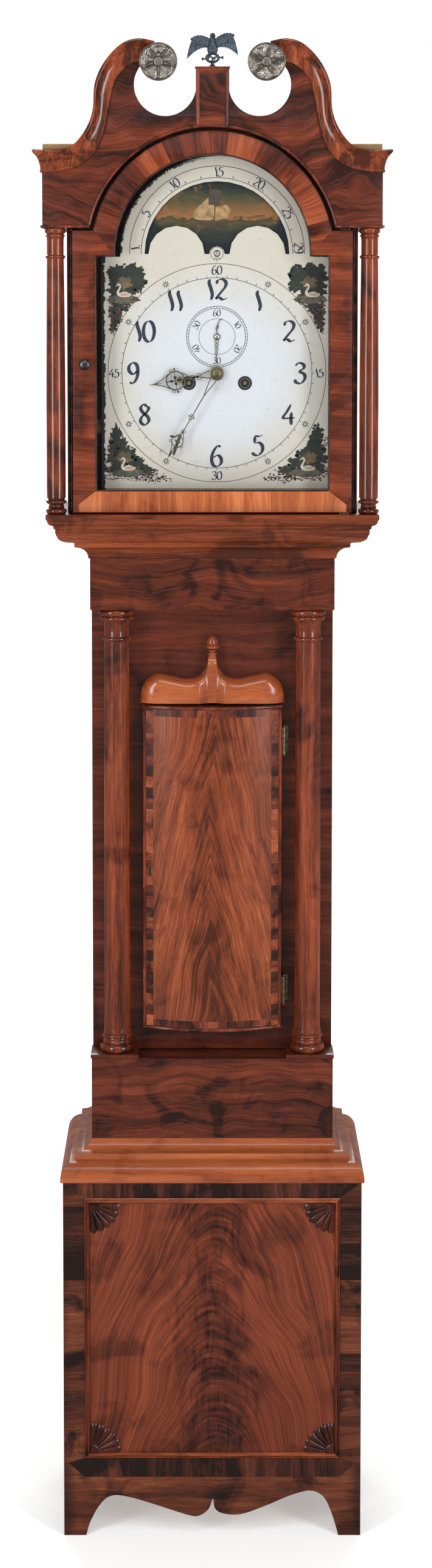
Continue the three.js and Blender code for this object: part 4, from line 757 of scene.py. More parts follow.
metals = {
    "brass": metal("movementBrass", (0.74, 0.55, 0.25, 1), (0.42, 0.28, 0.10, 1), 0.3, 0.4, 24.0),
    "hingeBrass": metal("hingeBrass", (0.40, 0.33, 0.20, 1), (0.08, 0.06, 0.04, 1), 0.34, 0.8, 6.0),
    "gilt": metal("dullGilt", (0.30, 0.25, 0.15, 1), (0.10, 0.08, 0.05, 1), 0.42, 0.6, 9.0),
    "rosette": metal("tarnishedBrass", (0.34, 0.31, 0.27, 1), (0.07, 0.065, 0.07, 1), 0.4, 0.7, 9.0,
        spots=(0.28, 0.21, 0.12, 1)),
    "bronze": metal("patinatedBronze", (0.075, 0.095, 0.13, 1), (0.012, 0.015, 0.024, 1), 0.42, 0.6, 7.0,
        metallic=0.8, spots=(0.12, 0.10, 0.065, 1)),
    "knob": metal("darkPewter", (0.10, 0.10, 0.11, 1), (0.03, 0.03, 0.035, 1), 0.3, 0.5, 8.0),
    "steel": metal("polishedSteel", (0.62, 0.63, 0.66, 1), (0.34, 0.34, 0.36, 1), 0.28, 0.4, 16.0),
    "iron": metal("castIron", (0.16, 0.16, 0.17, 1), (0.05, 0.045, 0.045, 1), 0.6, 0.6, 10.0,
        metallic=0.6, grit=0.8),
    "bell": metal("bellMetal", (0.62, 0.50, 0.32, 1), (0.34, 0.25, 0.13, 1), 0.25, 0.4, 30.0),
}
paints = {
    "ink": paint("slateInk", tone(34, 44, 64), tone(22, 30, 46), 0.45, 14.0, grain=0.3),
    "fineInk": paint("faintInk", tone(30, 33, 44), tone(20, 22, 32), 0.5, 10.0),
    # a dark paint for painted shadow: the shade inside the keyhole and round the winding holes
    "shadow": paint("paintedShadowRecess", tone(14, 18, 24), tone(8, 10, 14), 0.6, 20.0),
    "gut": paint("twistedGut", tone(196, 158, 100), tone(160, 120, 70), 0.45, 9.0, grain=0.2),
}
print("stage: finishes")


# the base: its front board, bordered panel, corner fans and moulding

baseSettings = {
    "skirt": [(-194.9, 0), (-187.6, 23.5), (-172, 50.7), (-154, 63.4), (-126.8, 60.5), (-88, 48.8),
        (-37.4, 32.3), (-19.6, 31.3), (-5.5, 42), (1.1, 58), (4, 43), (17, 34.5), (45, 33.7), (82, 46.8),
        (120.5, 63.4), (151.5, 71), (172, 61), (184.6, 35), (195, 0)],
    "bead": [(0, 0), (0, 1.4), (0.9, 2.2), (1.9, 1.9), (2.3, 1.2), (2.9, 1.6), (3.7, 3.1), (5.0, 3.9),
        (6.4, 3.4), (7.3, 2.0), (8, 1.2), (8, 0)],
    "fanRadius": 47.0, "fanHub": 14.0, "petals": 6, "crossBand": 31.0,
}


def frameSide(name, a, b, insetA, insetB, profile, depth, material):
    # one side of a mitred frame from corner a to corner b; insets point to the frame's inside at each corner
    rings = []
    for (x, z), (ix, iz) in ((a, insetA), (b, insetB)):
        rings.append([place(x + ix * across, depth + proud, z + iz * across) for across,
            proud in profile])
    piece = ringsPiece(name, rings, 30)
    piece.data.materials.append(material)
    return piece


def quarterFan(name, x, z, turnX, turnZ, depth, s, material):
    # petals that spread from the corner, each rounded across, with a scalloped end
    shape = bmesh.new()
    steps, rings = 10, 14
    count = s["petals"]
    top = []
    for i in range(count * steps + 1):
        angle = math.pi / 2 * i / (count * steps)
        across = abs(math.sin(math.pi * i / steps))
        reach = s["fanRadius"] - 4.5 * (1 - across ** 0.6)
        row = []
        for k in range(rings + 1):
            along = k / rings
            radius = s["fanHub"] * 0.86 + (reach - s["fanHub"] * 0.86) * along
            crown = math.sqrt(max(0.0, 1 - (2 * along - 0.9) ** 4 * 0.9)) * (0.5 + 0.5 * along)
            proud = 0.7 + 3.6 * across ** 0.55 * crown * (1 if k < rings else 0.2)
            row.append(place(x + turnX * radius * math.cos(angle), depth + proud,
                z + turnZ * radius * math.sin(angle)))
        top.append(row)
    rows = [[shape.verts.new(p) for p in row] for row in top]
    low = [[shape.verts.new(Vector((p.x, backFace - depth * mm, p.z))) for p in row] for row in top]
    for grid, flip in ((rows, False), (low, True)):
        for near, far in zip(grid, grid[1:]):
            for k in range(rings):
                quad = (near[k], near[k + 1], far[k + 1], far[k])
                shape.faces.new(tuple(reversed(quad)) if flip else quad)
    last = count * steps
    for i in range(last):
        for k in (0, rings):
            shape.faces.new((rows[i][k], rows[i + 1][k], low[i + 1][k], low[i][k]))
    for i in (0, last):
        for k in range(rings):
            shape.faces.new((rows[i][k], rows[i][k + 1], low[i][k + 1], low[i][k]))
    fan = meshPiece(name, shape, 40)
    hub = bmesh.new()
    profile = [(0, depth), (s["fanHub"], depth), (s["fanHub"], depth + 2.4),
        (s["fanHub"] - 1.5, depth + 3.6), (s["fanHub"] * 0.55, depth + 3.9), (0, depth + 4.1)]
    turns = [math.pi / 2 * k / 12 for k in range(13)]
    addRings(hub, [[place(x, d, z)] + [place(x + turnX * r * math.cos(a), d, z + turnZ * r * math.sin(a))
        for a in turns]
        for r, d in ((max(r, 0.01), d) for r, d in profile)])
    boss = meshPiece(name + "Hub", hub, 40)
    for piece in (fan, boss):
        piece.data.materials.append(material)
    return [fan, boss]


def makeBase(s):
    b = edges("base_front")
    f = edges("base_panel_frame")
    half, front, top = b["x1"], b["d1"], b["z1"]
    board = boardPiece("baseFrontBoard", [[(-half, 0), *flow(s["skirt"], 5), (half, 0), (half, top),
        (-half, top)]],
        b["d0"], front - 0.3, 0.8)
    dress(board, "case", woods["baseBoard"], "base_front", slot="mahogany")
    inner, low, high, outer = f["x1"] - 8, f["z0"] + 8, f["z1"] - 8, f["x1"]
    skin = 0.25
    veneers = [
        ("basePanelVeneer", [(-inner - 2, low - 2), (inner + 2, low - 2), (inner + 2, high + 2),
            (-inner - 2, high + 2)], "basePanel"),
        ("baseTopBorder", [(-half + 0.8, top), (-outer, f["z1"]), (outer, f["z1"]), (half - 0.8, top)],
            "baseBorderLevel"),
        ("baseLeftBorder", [(-half + 0.6, top - 0.5), (-outer - 0.2, f["z1"]), (-outer - 0.2, f["z0"]),
            (-half + 0.6, f["z0"] - 12)], "baseBorderUpright"),
        ("baseRightBorder", [(half - 0.6, top - 0.5), (outer + 0.2, f["z1"]), (outer + 0.2, f["z0"]),
            (half - 0.6, f["z0"] - 12)], "baseBorderUpright"),
        ("baseLowBorder", [(-outer - 26, f["z0"] - 9), (-outer, f["z0"] - 0.3), (outer, f["z0"] - 0.3),
            (outer + 26, f["z0"] - 9), (outer, f["z0"] - s["crossBand"]),
            (-outer, f["z0"] - s["crossBand"])], "baseBorderLevel"),
    ]
    for name, loop, finish in veneers:
        dress(boardPiece(name, [loop], front - 0.45, front - 0.3 + skin, 0.08), "case", woods[finish],
            slot="mahogany")
    x0, x1, z0, z1 = f["x0"], f["x1"], f["z0"], f["z1"]
    depth = front + 0.02
    level = [frameSide("beadTop", (x0, z1), (x1, z1), (1, -1), (-1, -1), s["bead"], depth,
        woods["beadLight"]),
        frameSide("beadLow", (x0, z0), (x1, z0), (1, 1), (-1, 1), s["bead"], depth, woods["beadLight"])]
    upright = [frameSide("beadLeft", (x0, z0), (x0, z1), (1, 1), (1, -1), s["bead"], depth,
        woods["bead"]),
        frameSide("beadRight", (x1, z0), (x1, z1), (-1, 1), (-1, -1), s["bead"], depth, woods["bead"])]
    beadFrame = joined("basePanelBead", level + upright, 30)
    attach(beadFrame, "case")
    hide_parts("base_panel_frame")
    for name, x, z, turnX, turnZ in (
            ("fanTopLeft", -inner, high, 1, -1), ("fanTopRight", inner, high, -1, -1),
            ("fanLowLeft", -inner, low, 1, 1), ("fanLowRight", inner, low, -1, 1)):
        fan = joined(name, quarterFan(name, x + turnX * 0.5, z + turnZ * 0.5, turnX, turnZ, depth, s,
            woods["carved"]), 40)
        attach(fan, "case")
    m = edges("base_moulding")
    w = edges("lower_frieze")
    foot = m["z0"] - gap
    out = m["x1"] - w["x1"]
    profile = [(gap, foot + 0.3), (out - 1, foot + 0.3), (out, foot + 1.2),
        *arc(out - 22, foot + 6, 22, 24, 0, 88, 14), (out - 22.3, foot + 30.5), (out - 22.3, foot + 38.4),
        (out - 23.2, foot + 39.4), (out - 25.2, foot + 39.5),
        *arc(out - 26, foot + 56.5, 20, 17, -92, -178, 12), (out - 46, m["z1"]), (gap, m["z1"])]
    dress(ringsPiece("baseMouldingRun", wrapRings(profile, w["x1"], w["d1"]), 32), "case",
        woods["baseMoulding"], "base_moulding", slot="light_mahogany")


makeBase(baseSettings)
print("stage: base")

# the waist: columns, bow-fronted door with its dome, hinges and moulding

waistSettings = {
    "doorRim": 5.5, "doorBand": 11.0, "doorSteps": 28, "dome": [(111.5, 12), (108.5, 25), (102.5, 34),
        (85.5, 45), (63.5, 42), (39.5, 37.5), (22, 41), (11, 52), (7.5, 64), (6, 75)],
    "domeThickness": 30.0,
    "columnX": 147.0, "columnShaft": 20.2, "columnCap": 27.4, "columnNecking": 46.0, "plinthTall": 6.2,
    "plinthOut": 1.6,
    "lockRise": 249.3, "lockX": -94.7, "hingeKnuckles": 5,
}


def columnProfile(foot, top, shaft, cap, tall):
    # a plain column from its base to its capital; tall is the height of the necking
    return [
        (0, foot), (cap - 3.5, foot), *arc(cap - 6.4, foot + 6.5, 6, 6.5, -80, 84, 10),
        (cap - 5.6, foot + 13.2), (shaft + 2.0, foot + 14.2),
        *arc(cap - 0.4, foot + 19, 5.6, 4.6, 220, 140, 8), (shaft + 2.2, foot + 23.4),
        *arc(shaft + 1.6, foot + 26, 2.2, 2.2, -90, 90, 8), (shaft + 1.8, foot + 28.8),
        (shaft + 1.2, foot + 33), (shaft + 0.2, foot + 39), (shaft, foot + 60),
        (shaft, foot + (top - foot) * 0.45), (shaft - 0.9, top - tall - 5),
        (shaft - 0.8, top - tall - 3.4), *arc(shaft - 0.2, top - tall, 2.5, 2.9, -80, 80, 8),
        (shaft - 0.9, top - tall + 3.6), (shaft - 1.0, top - tall + 10), (shaft - 0.8, top - 24),
        (shaft + 0.6, top - 20), *arc(cap - 4.8, top - 14.4, 3.4, 3.4, -76, 76, 8),
        (cap - 4.4, top - 10.4), (cap - 3.2, top - 9.6), *arc(cap - 2.6, top - 5.4, 2.6, 3.9, -80, 80, 8),
        (cap - 3.0, top - 0.4), (0, top), ]


def bowPoint(x, half, edge, bow, proud=0.0):
    radius = (half * half + bow * bow) / (2 * bow)
    return edge + bow - radius + math.sqrt(radius * radius - x * x) + proud


def bowSlab(name, x0, x1, z0, z1, under, over, door, steps=28):
    # a sheet that follows the bow of the door, from one height of surface to another
    shape = bmesh.new()
    rings = []
    for i in range(steps + 1):
        x = x0 + (x1 - x0) * i / steps
        near, far = (bowPoint(x, door["half"], door["edge"], door["bow"], p) for p in (under, over))
        rings.append([place(x, near, z0), place(x, far, z0), place(x, far, z1), place(x, near, z1)])
    addRings(shape, rings)
    return meshPiece(name, shape, 30)


def makeColumns(s):
    for side, label in ((-1, "left"), (1, "right")):
        e = edges("waist_column_" + label)
        out = s["plinthOut"]
        block = blockPiece("waistPlinthBlock" + label.title(), e["x0"] - (out if side < 0 else 0),
            e["x1"] + (out if side > 0 else 0), e["d0"], e["d1"] + 0.6, e["z0"],
            e["z0"] + s["plinthTall"], 0.7)
        block.data.materials.append(woods["waistBoard"])
        cap = s["columnCap"]
        profile = columnProfile(e["z0"] + s["plinthTall"], e["z1"], s["columnShaft"], cap,
            s["columnNecking"])
        column = turnedPiece("waistColumn" + label.title(), profile, side * s["columnX"], e["d1"] - cap,
            64, 32)
        column.data.materials.append(woods["column"])
        both = joined("waistColumn" + label.title() + "Turned", [column, block], 32)
        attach(both, "case")
        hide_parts("waist_column_" + label)


def makeDome(s):
    e = edges("door_dome")
    back, low = e["d0"], e["z0"]
    half = s["dome"][0][0]
    right = flow(s["dome"], 7)
    stations = [*right, *[(-x, z) for x, z in reversed(right)]]
    rings = []
    for x, high in stations:
        fullness = math.sqrt(max(0.12, 1 - 0.84 * abs(x / half) ** 7))
        slim = 1 - 0.42 * max(0.0, 1 - abs(x) / 20)
        front = s["domeThickness"] * fullness * slim
        bend = min(19.0, high * 0.62, front * 0.72)
        section = [(0, 0), (front - 2.2, 0), (front - 0.4, 0.8), (front, 2.6),
            *arc(front - bend, high - bend, bend, bend, 4, 88, 12), (0, high)]
        rings.append([place(x, back + proud, low + dz) for proud, dz in section])
    dome = ringsPiece("doorDomeShell", rings, 50)
    z = low + 78
    acorn = turnedPiece("doorAcorn", [
        (0, z - 8), (6.2, z - 8), (6.1, z - 3.6), *arc(6.0, z - 1.6, 1.9, 1.6, -80, 80, 6),
        (5.4, z + 0.4), (5.0, z + 2.0), *arc(5.2, z + 3.4, 1.5, 1.2, -80, 80, 6), (5.0, z + 4.9),
        (7.0, z + 6.0), *arc(8.4, z + 8.8, 2.4, 2.6, -70, 80, 8), (9.0, z + 11.7), (8.2, z + 12.2),
        *arc(0, z + 12.6, 8.6, 14.0, 6, 78, 12), (1.4, z + 26.6), (0, z + 27.2),
        ], 0, e["d0"] + 11.7, 40, 40)
    for piece in (dome, acorn):
        piece.data.materials.append(woods["dome"])
    both = joined("doorDomeAndAcorn", [dome, acorn], 50)
    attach(both, "case")
    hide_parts("door_dome")


def makeWaistDoor(s):
    e = edges("waist_door")
    half, low, high = e["x1"], e["z0"], e["z1"]
    door = {"half": half, "edge": e["d0"] + 16.0, "bow": 26.0}
    rim, band = s["doorRim"], s["doorBand"]
    shape = bmesh.new()
    count = s["doorSteps"]
    rings = []
    for i in range(count + 1):
        x = -half + 2 * half * i / count
        depth = bowPoint(x, half, door["edge"], door["bow"], -0.3)
        hollow = depth - 20 if abs(x) < half - 18 else e["d0"]
        rings.append([place(x, max(hollow, e["d0"]), low), place(x, depth, low), place(x, depth, high),
            place(x, max(hollow, e["d0"]), high)])
    addRings(shape, rings)
    body = meshPiece("waistDoorBody", shape, 30)
    dress(body, "waist_door", woods["column"], "waist_door", slot="light_mahogany")
    near, far = half - rim - band, half - rim
    sheets = [
        ("waistDoorFeather", -near, near, low + rim + band, high - rim - band, "door"),
        ("waistDoorBandLeft", -far, -near - 0.2, low + rim, high - rim, "doorBandUpright"),
        ("waistDoorBandRight", near + 0.2, far, low + rim, high - rim, "doorBandUpright"),
        ("waistDoorBandLow", -near, near, low + rim, low + rim + band - 0.2, "doorBandLevel"),
        ("waistDoorBandHigh", -near, near, high - rim - band + 0.2, high - rim, "doorBandLevel"), ]
    for name, x0, x1, z0, z1, finish in sheets:
        dress(bowSlab(name, x0, x1, z0, z1, -0.5, 0.0, door, s["doorSteps"]), "waist_door", woods[finish],
            slot="light_mahogany")
    xs = [-half + 2.6 + (2 * half - 5.2) * i / count for i in range(count + 1)]
    proud = [(x, bowPoint(x, half, door["edge"], door["bow"]) - 0.4) for x in xs]
    path = [(x, d, low + 2.8) for x, d in proud] + [(x, d, high - 2.8) for x, d in reversed(proud)]
    bead = beadPiece("waistDoorCockBead", path, 2.7, woods["bead"], 14, 6.0, closed=True)
    dress(bead, "waist_door", woods["bead"], slot="mahogany")
    zLock, x = low + s["lockRise"], s["lockX"]
    depth = bowPoint(x, half, door["edge"], door["bow"])
    loop = [*arc(x, zLock + 3.2, 2.9, 2.9, -60, 240, 14), (x - 2.0, zLock - 6.5), (x + 2.0, zLock - 6.5)]
    outer = [*arc(x, zLock + 3.2, 4.0, 4.0, -50, 230, 14), (x - 3.2, zLock - 7.8), (x + 3.2, zLock - 7.8)]
    dress(boardPiece("keyholePlate", [outer, loop], depth - 1.2, depth + 0.35, 0.2), "waist_door",
        metals["knob"], slot="bronze")
    # painted shadow: a dark sheet behind the keyhole stands for the shade inside the hole
    dress(boardPiece("keyholeDark", [loop], depth - 1.2, depth + 0.06, 0.02), "waist_door",
        paints["shadow"], slot="bronze")
    for label in ("upper", "lower"):
        h = edges("hinge_" + label)
        x, d, z0, z1 = h["x1"] - 2.2, h["d1"] - 2.2, h["z0"] + 3, h["z1"] - 3
        shape = bmesh.new()
        tall = (z1 - z0) / s["hingeKnuckles"]
        for k in range(s["hingeKnuckles"]):
            z = z0 + k * tall
            addTurned(shape, [(0, z + 0.15), (1.9, z + 0.15), (2.2, z + 0.5), (2.2, z + tall - 0.5),
                (1.9, z + tall - 0.15), (0, z + tall - 0.15)], x, d, 20)
        for z, up in ((z1, 1), (z0, -1)):
            addTurned(shape, [(0, z), (1.2, z), (1.3, z + up * 0.5),
                *arc(0, z + up * 1.7, 1.5, 1.3 * up, -50, 80, 8), (0, z + up * 3)], x, d, 20)
        addBlock(shape, h["x0"] + 0.1, h["x0"] + 1.6, d - 12, d, z0 + 0.4, z1 - 0.4)
        addBlock(shape, h["x0"] + 1.0, x, d - 1.4, d + 0.2, z0 + 0.4, z1 - 0.4)
        dress(meshPiece("waistHinge" + label.title(), shape, 35), "waist_door", metals["hingeBrass"],
            "hinge_" + label, slot="brass")
        leaf = blockPiece("waistHingeLeaf" + label.title(), x + 0.4, x + 6.5, d - 16.3, d - 15.1,
            z0 + 0.5, z1 - 0.5, 0.2)
        dress(leaf, "case", metals["hingeBrass"], slot="brass")


def makeWaistMoulding():
    m = edges("waist_moulding")
    w = edges("upper_frieze")
    z = m["z0"] - gap
    profile = [(gap, z + 0.3), (1.6, z + 0.3), (2.6, z + 1.2), *arc(22.5, z + 1, 20, 17.6, 176, 96, 12),
        (21.8, z + 18.8), (22.6, z + 19.6), (22.6, z + 24.6), (23.4, z + 25.6), (25.4, z + 26),
        *arc(25.5, z + 38.5, 22, 12, -88, -4, 14), (48.6, z + 39.4), (49, z + 41), (49.8, z + 42),
        (50, m["z1"]), (gap, m["z1"])]
    dress(ringsPiece("waistMouldingRun", wrapRings(profile, w["x1"], w["d1"]), 32), "case",
        woods["moulding"], "waist_moulding", slot="light_mahogany")


woods["dome"] = wood("domeMahogany", "orange", "x", wave=12.0, bands=0.7, blotch=0.3, seed=23.0,
    contrast=0.6, shift=-0.02, gloss=0.22, coat=0.55)
makeColumns(waistSettings)
makeDome(waistSettings)
makeWaistDoor(waistSettings)
makeWaistMoulding()
print("stage: waist")

# the hood: tympanum, swan necks, rosettes, eagle, columns and glazed door

hoodSettings = {
    "neckOuter": [(231, 113.5), (207, 121), (187.7, 144), (177, 172), (173.5, 212), (158.7, 244),
        (134.5, 269), (110, 277), (85, 273)],
    "neckInner": [(236, 82), (204, 89), (176, 109), (160.5, 141), (151.5, 188), (143, 219),
        (122.3, 239.8), (105, 243.5), (88, 244)],
    # across the neck from its inner to its outer edge, and how far each point stands forward
    "neckSection": [(0, 0), (0, 0.16), (0.02, 0.21), (0.07, 0.21), (0.085, 0.17), (0.11, 0.15),
        (0.2, 0.16), (0.33, 0.21), (0.47, 0.3), (0.6, 0.43), (0.71, 0.59), (0.79, 0.76), (0.84, 0.9),
        (0.86, 0.93), (0.89, 0.95), (0.9, 1.0), (0.97, 1.0), (1, 0.94), (1, 0)],
    "notch": (70.0, 210.6, 46.0), "rosetteX": 79.7, "rosetteRise": 243.0, "petals": 5,
}
hood = edges("tympanum")
hoodHalf, tympFront, zTymp = hood["x1"], hood["d1"], hood["z0"] - gap
neckTop = edges("swan_neck_right")["z1"]
dialBox = edges("dial")
dialX, dialZ = (dialBox["x0"] + dialBox["x1"]) / 2, dialBox["z0"] + 175.0
zArch = dialZ + 180.0
tympArch = 186.1


def lift(z):
    return zTymp + z * (neckTop - zTymp) / 277.0


def archLoop(half, low, shoulder, radius, steps=72):
    start = math.degrees(math.asin((shoulder - zArch) / radius))
    return [(-half, low), (half, low), (half, shoulder),
        *arc(0, zArch, radius, radius, start, 180 - start, steps), (-half, shoulder)]


def makeTympanum(s):
    top = [(x - 2, lift(z) - 3) for x, z in flow(s["neckOuter"], 6)]
    nx, nz, nr = s["notch"]
    notch = arc(nx, lift(nz), nr, nr, 180, 395, 44)
    start = math.degrees(math.asin((zTymp + gap - zArch) / tympArch))
    arch = arc(0, zArch, tympArch, tympArch, start, 90, 40)
    half = [*reversed(arch), (hoodHalf, zTymp + gap), (hoodHalf, lift(113)), *top,
        (s["rosetteX"] + 6, lift(s["rosetteRise"]) - 4), *reversed(notch), (nx - nr, lift(236))]
    loop = half + mirroredPoints(half[1:])
    board = boardPiece("tympanumBoard", [loop], hood["d0"], tympFront, 0.5)
    dress(board, "hood", woods["tympanum"], "tympanum", slot="mahogany")
    path = [(x, tympFront + 0.1, z) for x, z in arc(0, zArch, tympArch + 1.6, tympArch + 1.6, start + 1.2,
        178.8 - start, 90)]
    bead = beadPiece("tympanumArchBead", path, 2.1, woods["bead"], 12, 4.0)
    dress(bead, "hood", woods["bead"], slot="mahogany")
    for label, sign in (("Left", -1), ("Right", 1)):
        x = sign * math.sqrt(tympArch ** 2 - (zTymp - zArch) ** 2)
        run = [(x + sign * 0.5, tympFront + 0.1, zTymp + 1.8), (sign * (hoodHalf + 1.2), tympFront + 0.1,
            zTymp + 1.8),
            (sign * (hoodHalf + 1.2), 6, zTymp + 1.8)]
        strip = beadPiece("tympanumFootBead" + label, run, 2.1, woods["bead"], 12, 4.0)
        dress(strip, "hood", woods["bead"], slot="mahogany")


def makeSwanNecks(s):
    outer, inner = flow(s["neckOuter"], 9), flow(s["neckInner"], 9)
    reach = edges("swan_neck_right")["d1"] - tympFront - gap
    zLow, zHigh = lift(82), lift(82) + 33
    for label, sign in (("right", 1), ("left", -1)):
        rings = []
        for depthOf in (lambda out: 0, lambda out: tympFront + out):
            rings.append([place(sign * (hoodHalf + gap + proud * reach), depthOf(gap + proud * reach),
                zLow + (zHigh - zLow) * across) for across, proud in s["neckSection"]])
        for (ox, oz), (nx, nz) in zip(outer, inner):
            rings.append([place(sign * (nx + (ox - nx) * across), tympFront + gap + proud * reach,
                lift(nz) + (lift(oz) - lift(nz)) * across) for across, proud in s["neckSection"]])
        neck = ringsPiece("neckRun" + label.title(), rings, 40)
        x, z = sign * s["rosetteX"], lift(s["rosetteRise"])
        boss = turnedForwardPiece("neckBoss" + label.title(),
            [(0, tympFront + gap), (27, tympFront + gap), (27, tympFront + reach - 1),
                (26, tympFront + reach), (0, tympFront + reach)], x, z, 56)
        for piece in (neck, boss):
            piece.data.materials.append(woods["mouldingDark"])
        both = joined("swanNeck" + label.title(), [neck, boss], 40)
        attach(both, "hood")
        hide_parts("swan_neck_" + label)


def petalHeight(radius, angle, s):
    # the stamped relief of a rosette: petals with raised veins between them, a lip and a flat boss
    turn = (angle / tau * s["petals"]) % 1.0
    edge = abs(turn - 0.5) * 2
    vein = math.exp(-((1 - edge) * radius / 2.3) ** 2)
    cup = 2.3 - 1.5 * math.cos(math.pi * edge) * math.sin(math.pi * min(1, radius / 26))
    crinkle = 0.55 * math.sin(angle * 17 + radius * 0.9) * math.sin(radius * 0.75) * (radius / 27) ** 2
    height = cup + 1.7 * vein * math.sin(math.pi * min(1.0, (radius - 6) / 21.0)) + crinkle
    height += 1.1 * math.exp(-((radius - 23.5) / 2.0) ** 2) * (0.5 + 0.5 * math.cos(tau * turn * 2))
    if radius < 8.2:
        height = 2.2
    if radius < 7.0:
        height = 3.9 - 0.6 * (radius / 7.0) ** 8
    if radius > 25.8:
        height = 1.9 - (radius - 25.8) * 0.45
    return height


def makeRosettes(s):
    for label, sign, turned in (("left", -1, 0.3), ("right", 1, 1.1)):
        e = edges("rosette_" + label)
        x, z, back = sign * s["rosetteX"], lift(s["rosetteRise"]), e["d0"]
        shape = bmesh.new()
        radii = [0.01] + [28.0 * (k / 34) for k in range(1, 35)]
        around = 120
        rings = [[place(x + r * math.cos(tau * k / around), back, z + r * math.sin(tau * k / around))
            for k in range(around)]
            for r in (0.01, 27.6)]
        for r in reversed(radii):
            rings.append([place(x + r * math.cos(tau * k / around),
                back + 0.9 + petalHeight(r, tau * k / around + turned, s) * (e["d1"] - back - 0.9) / 4.6,
                z + r * math.sin(tau * k / around)) for k in range(around)])
        addRings(shape, rings)
        disc = meshPiece("rosetteDisc" + label.title(), shape, 60)
        nail = turnedForwardPiece("rosetteNail" + label.title(),
            [(0, back + 1), (1.6, back + 1), (1.6, back + 4.8), (1.0, back + 5.5),
                (0, back + 5.7)], x + 0.5, z + 13.5, 16)
        disc.data.materials.append(metals["rosette"])
        nail.data.materials.append(metals["knob"])
        both = joined("rosette" + label.title(), [disc, nail], 60)
        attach(both, "hood")
        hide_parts("rosette_" + label)


def makeFinialPlinth():
    e = edges("finial_plinth")
    x0, x1, z0, z1, d0, d1 = e["x0"], e["x1"], e["z0"], e["z1"], e["d0"], e["d1"]
    core = blockPiece("plinthCore", x0 + 0.6, x1 - 0.6, d0, d1 - 3.2, z0, z1 - 0.4, 0.3)
    core.data.materials.append(woods["tympanum"])
    cap = blockPiece("plinthCap", x0 - 1.4, x1 + 1.4, hood["d0"], d1 + 0.4, z1 - 2.4, z1 + 0.5, 0.8)
    cap.data.materials.append(woods["bead"])
    profile = [(0, 0), (0, 2.4), (0.6, 3.2), (1.4, 3.4), (2.2, 2.9), (2.7, 1.8), (3.4, 1.5), (4.2, 2.0),
        (5.0, 1.6), (5.8, 0.5), (6.0, 0)]
    depth = d1 - 3.3
    sides = [frameSide("plinthBeadA", (x0, z1 - 2.6), (x1, z1 - 2.6), (1, -1), (-1, -1), profile, depth,
        woods["bead"]),
        frameSide("plinthBeadC", (x0, z0), (x0, z1 - 2.6), (1, 0), (1, -1), profile, depth,
            woods["bead"]),
        frameSide("plinthBeadD", (x1, z0), (x1, z1 - 2.6), (-1, 0), (-1, -1), profile, depth,
            woods["bead"])]
    both = joined("finialPlinthPanelled", [core, cap, *sides], 30)
    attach(both, "hood")
    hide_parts("finial_plinth")


def makeHoodColumns():
    for label in ("left", "right"):
        e = edges("hood_column_" + label)
        x, depth = (e["x0"] + e["x1"]) / 2, (e["d0"] + e["d1"]) / 2
        foot, top, shaft, cap = e["z0"], e["z1"], 14.2, 15.6
        profile = [
            (0, foot), (cap - 1.6, foot), *arc(cap - 3.6, foot + 4.2, 3.6, 4.0, -80, 80, 8),
            (cap - 3.4, foot + 8.6), (cap - 4.4, foot + 9.8),
            *arc(cap - 1.4, foot + 12.8, 3.2, 3.0, 235, 125, 6),
            *arc(cap - 3.0, foot + 18.3, 2.9, 2.7, -80, 80, 8), (cap - 3.2, foot + 21.6),
            (cap - 3.0, foot + 23.2), (cap - 1.6, foot + 24), (cap - 1.6, foot + 25.6),
            (shaft - 0.2, foot + 28), (shaft, foot + 40), (shaft, foot + 170), (shaft - 0.9, top - 120),
            (shaft - 1.7, top - 47), (shaft - 1.6, top - 45.4),
            *arc(shaft - 1.2, top - 42.6, 1.8, 2.2, -80, 80, 8), (shaft - 1.8, top - 39.8),
            (shaft - 1.8, top - 17), (shaft - 1.2, top - 15), *arc(cap - 3.6, top - 11.4, 2.2, 2.4, -80,
                80, 8), (cap - 2.8, top - 8.4),
            (cap - 1.6, top - 7.6), *arc(cap - 1.8, top - 4.0, 1.8, 3.4, -80, 80, 8), (cap - 2.2, top),
            (0, top), ]
        column = turnedPiece("hoodColumn" + label.title() + "Turned", profile, x, depth, 56, 32)
        dress(column, "hood", woods["column"], "hood_column_" + label, slot="mahogany")


def makeHoodBase():
    m = edges("hood_base")
    w = edges("upper_frieze")
    z = m["z0"]
    profile = [(2.3, z), (51.5, z), (52.2, z + 0.8), (52.8, z + 4.4), (53.6, z + 5.2),
        *arc(53.4, z + 13.5, 8, 8, -84, -4, 10), (62.0, z + 14.2), (62.8, z + 14.9), (63.4, z + 15.8),
        (63.4, z + 21.4), (62.6, z + 22.4), (2.3, z + 22.5)]
    dress(ringsPiece("hoodBaseRun", wrapRings(profile, w["x1"], w["d1"]), 32), "hood", woods["moulding"],
        "hood_base", slot="light_mahogany")


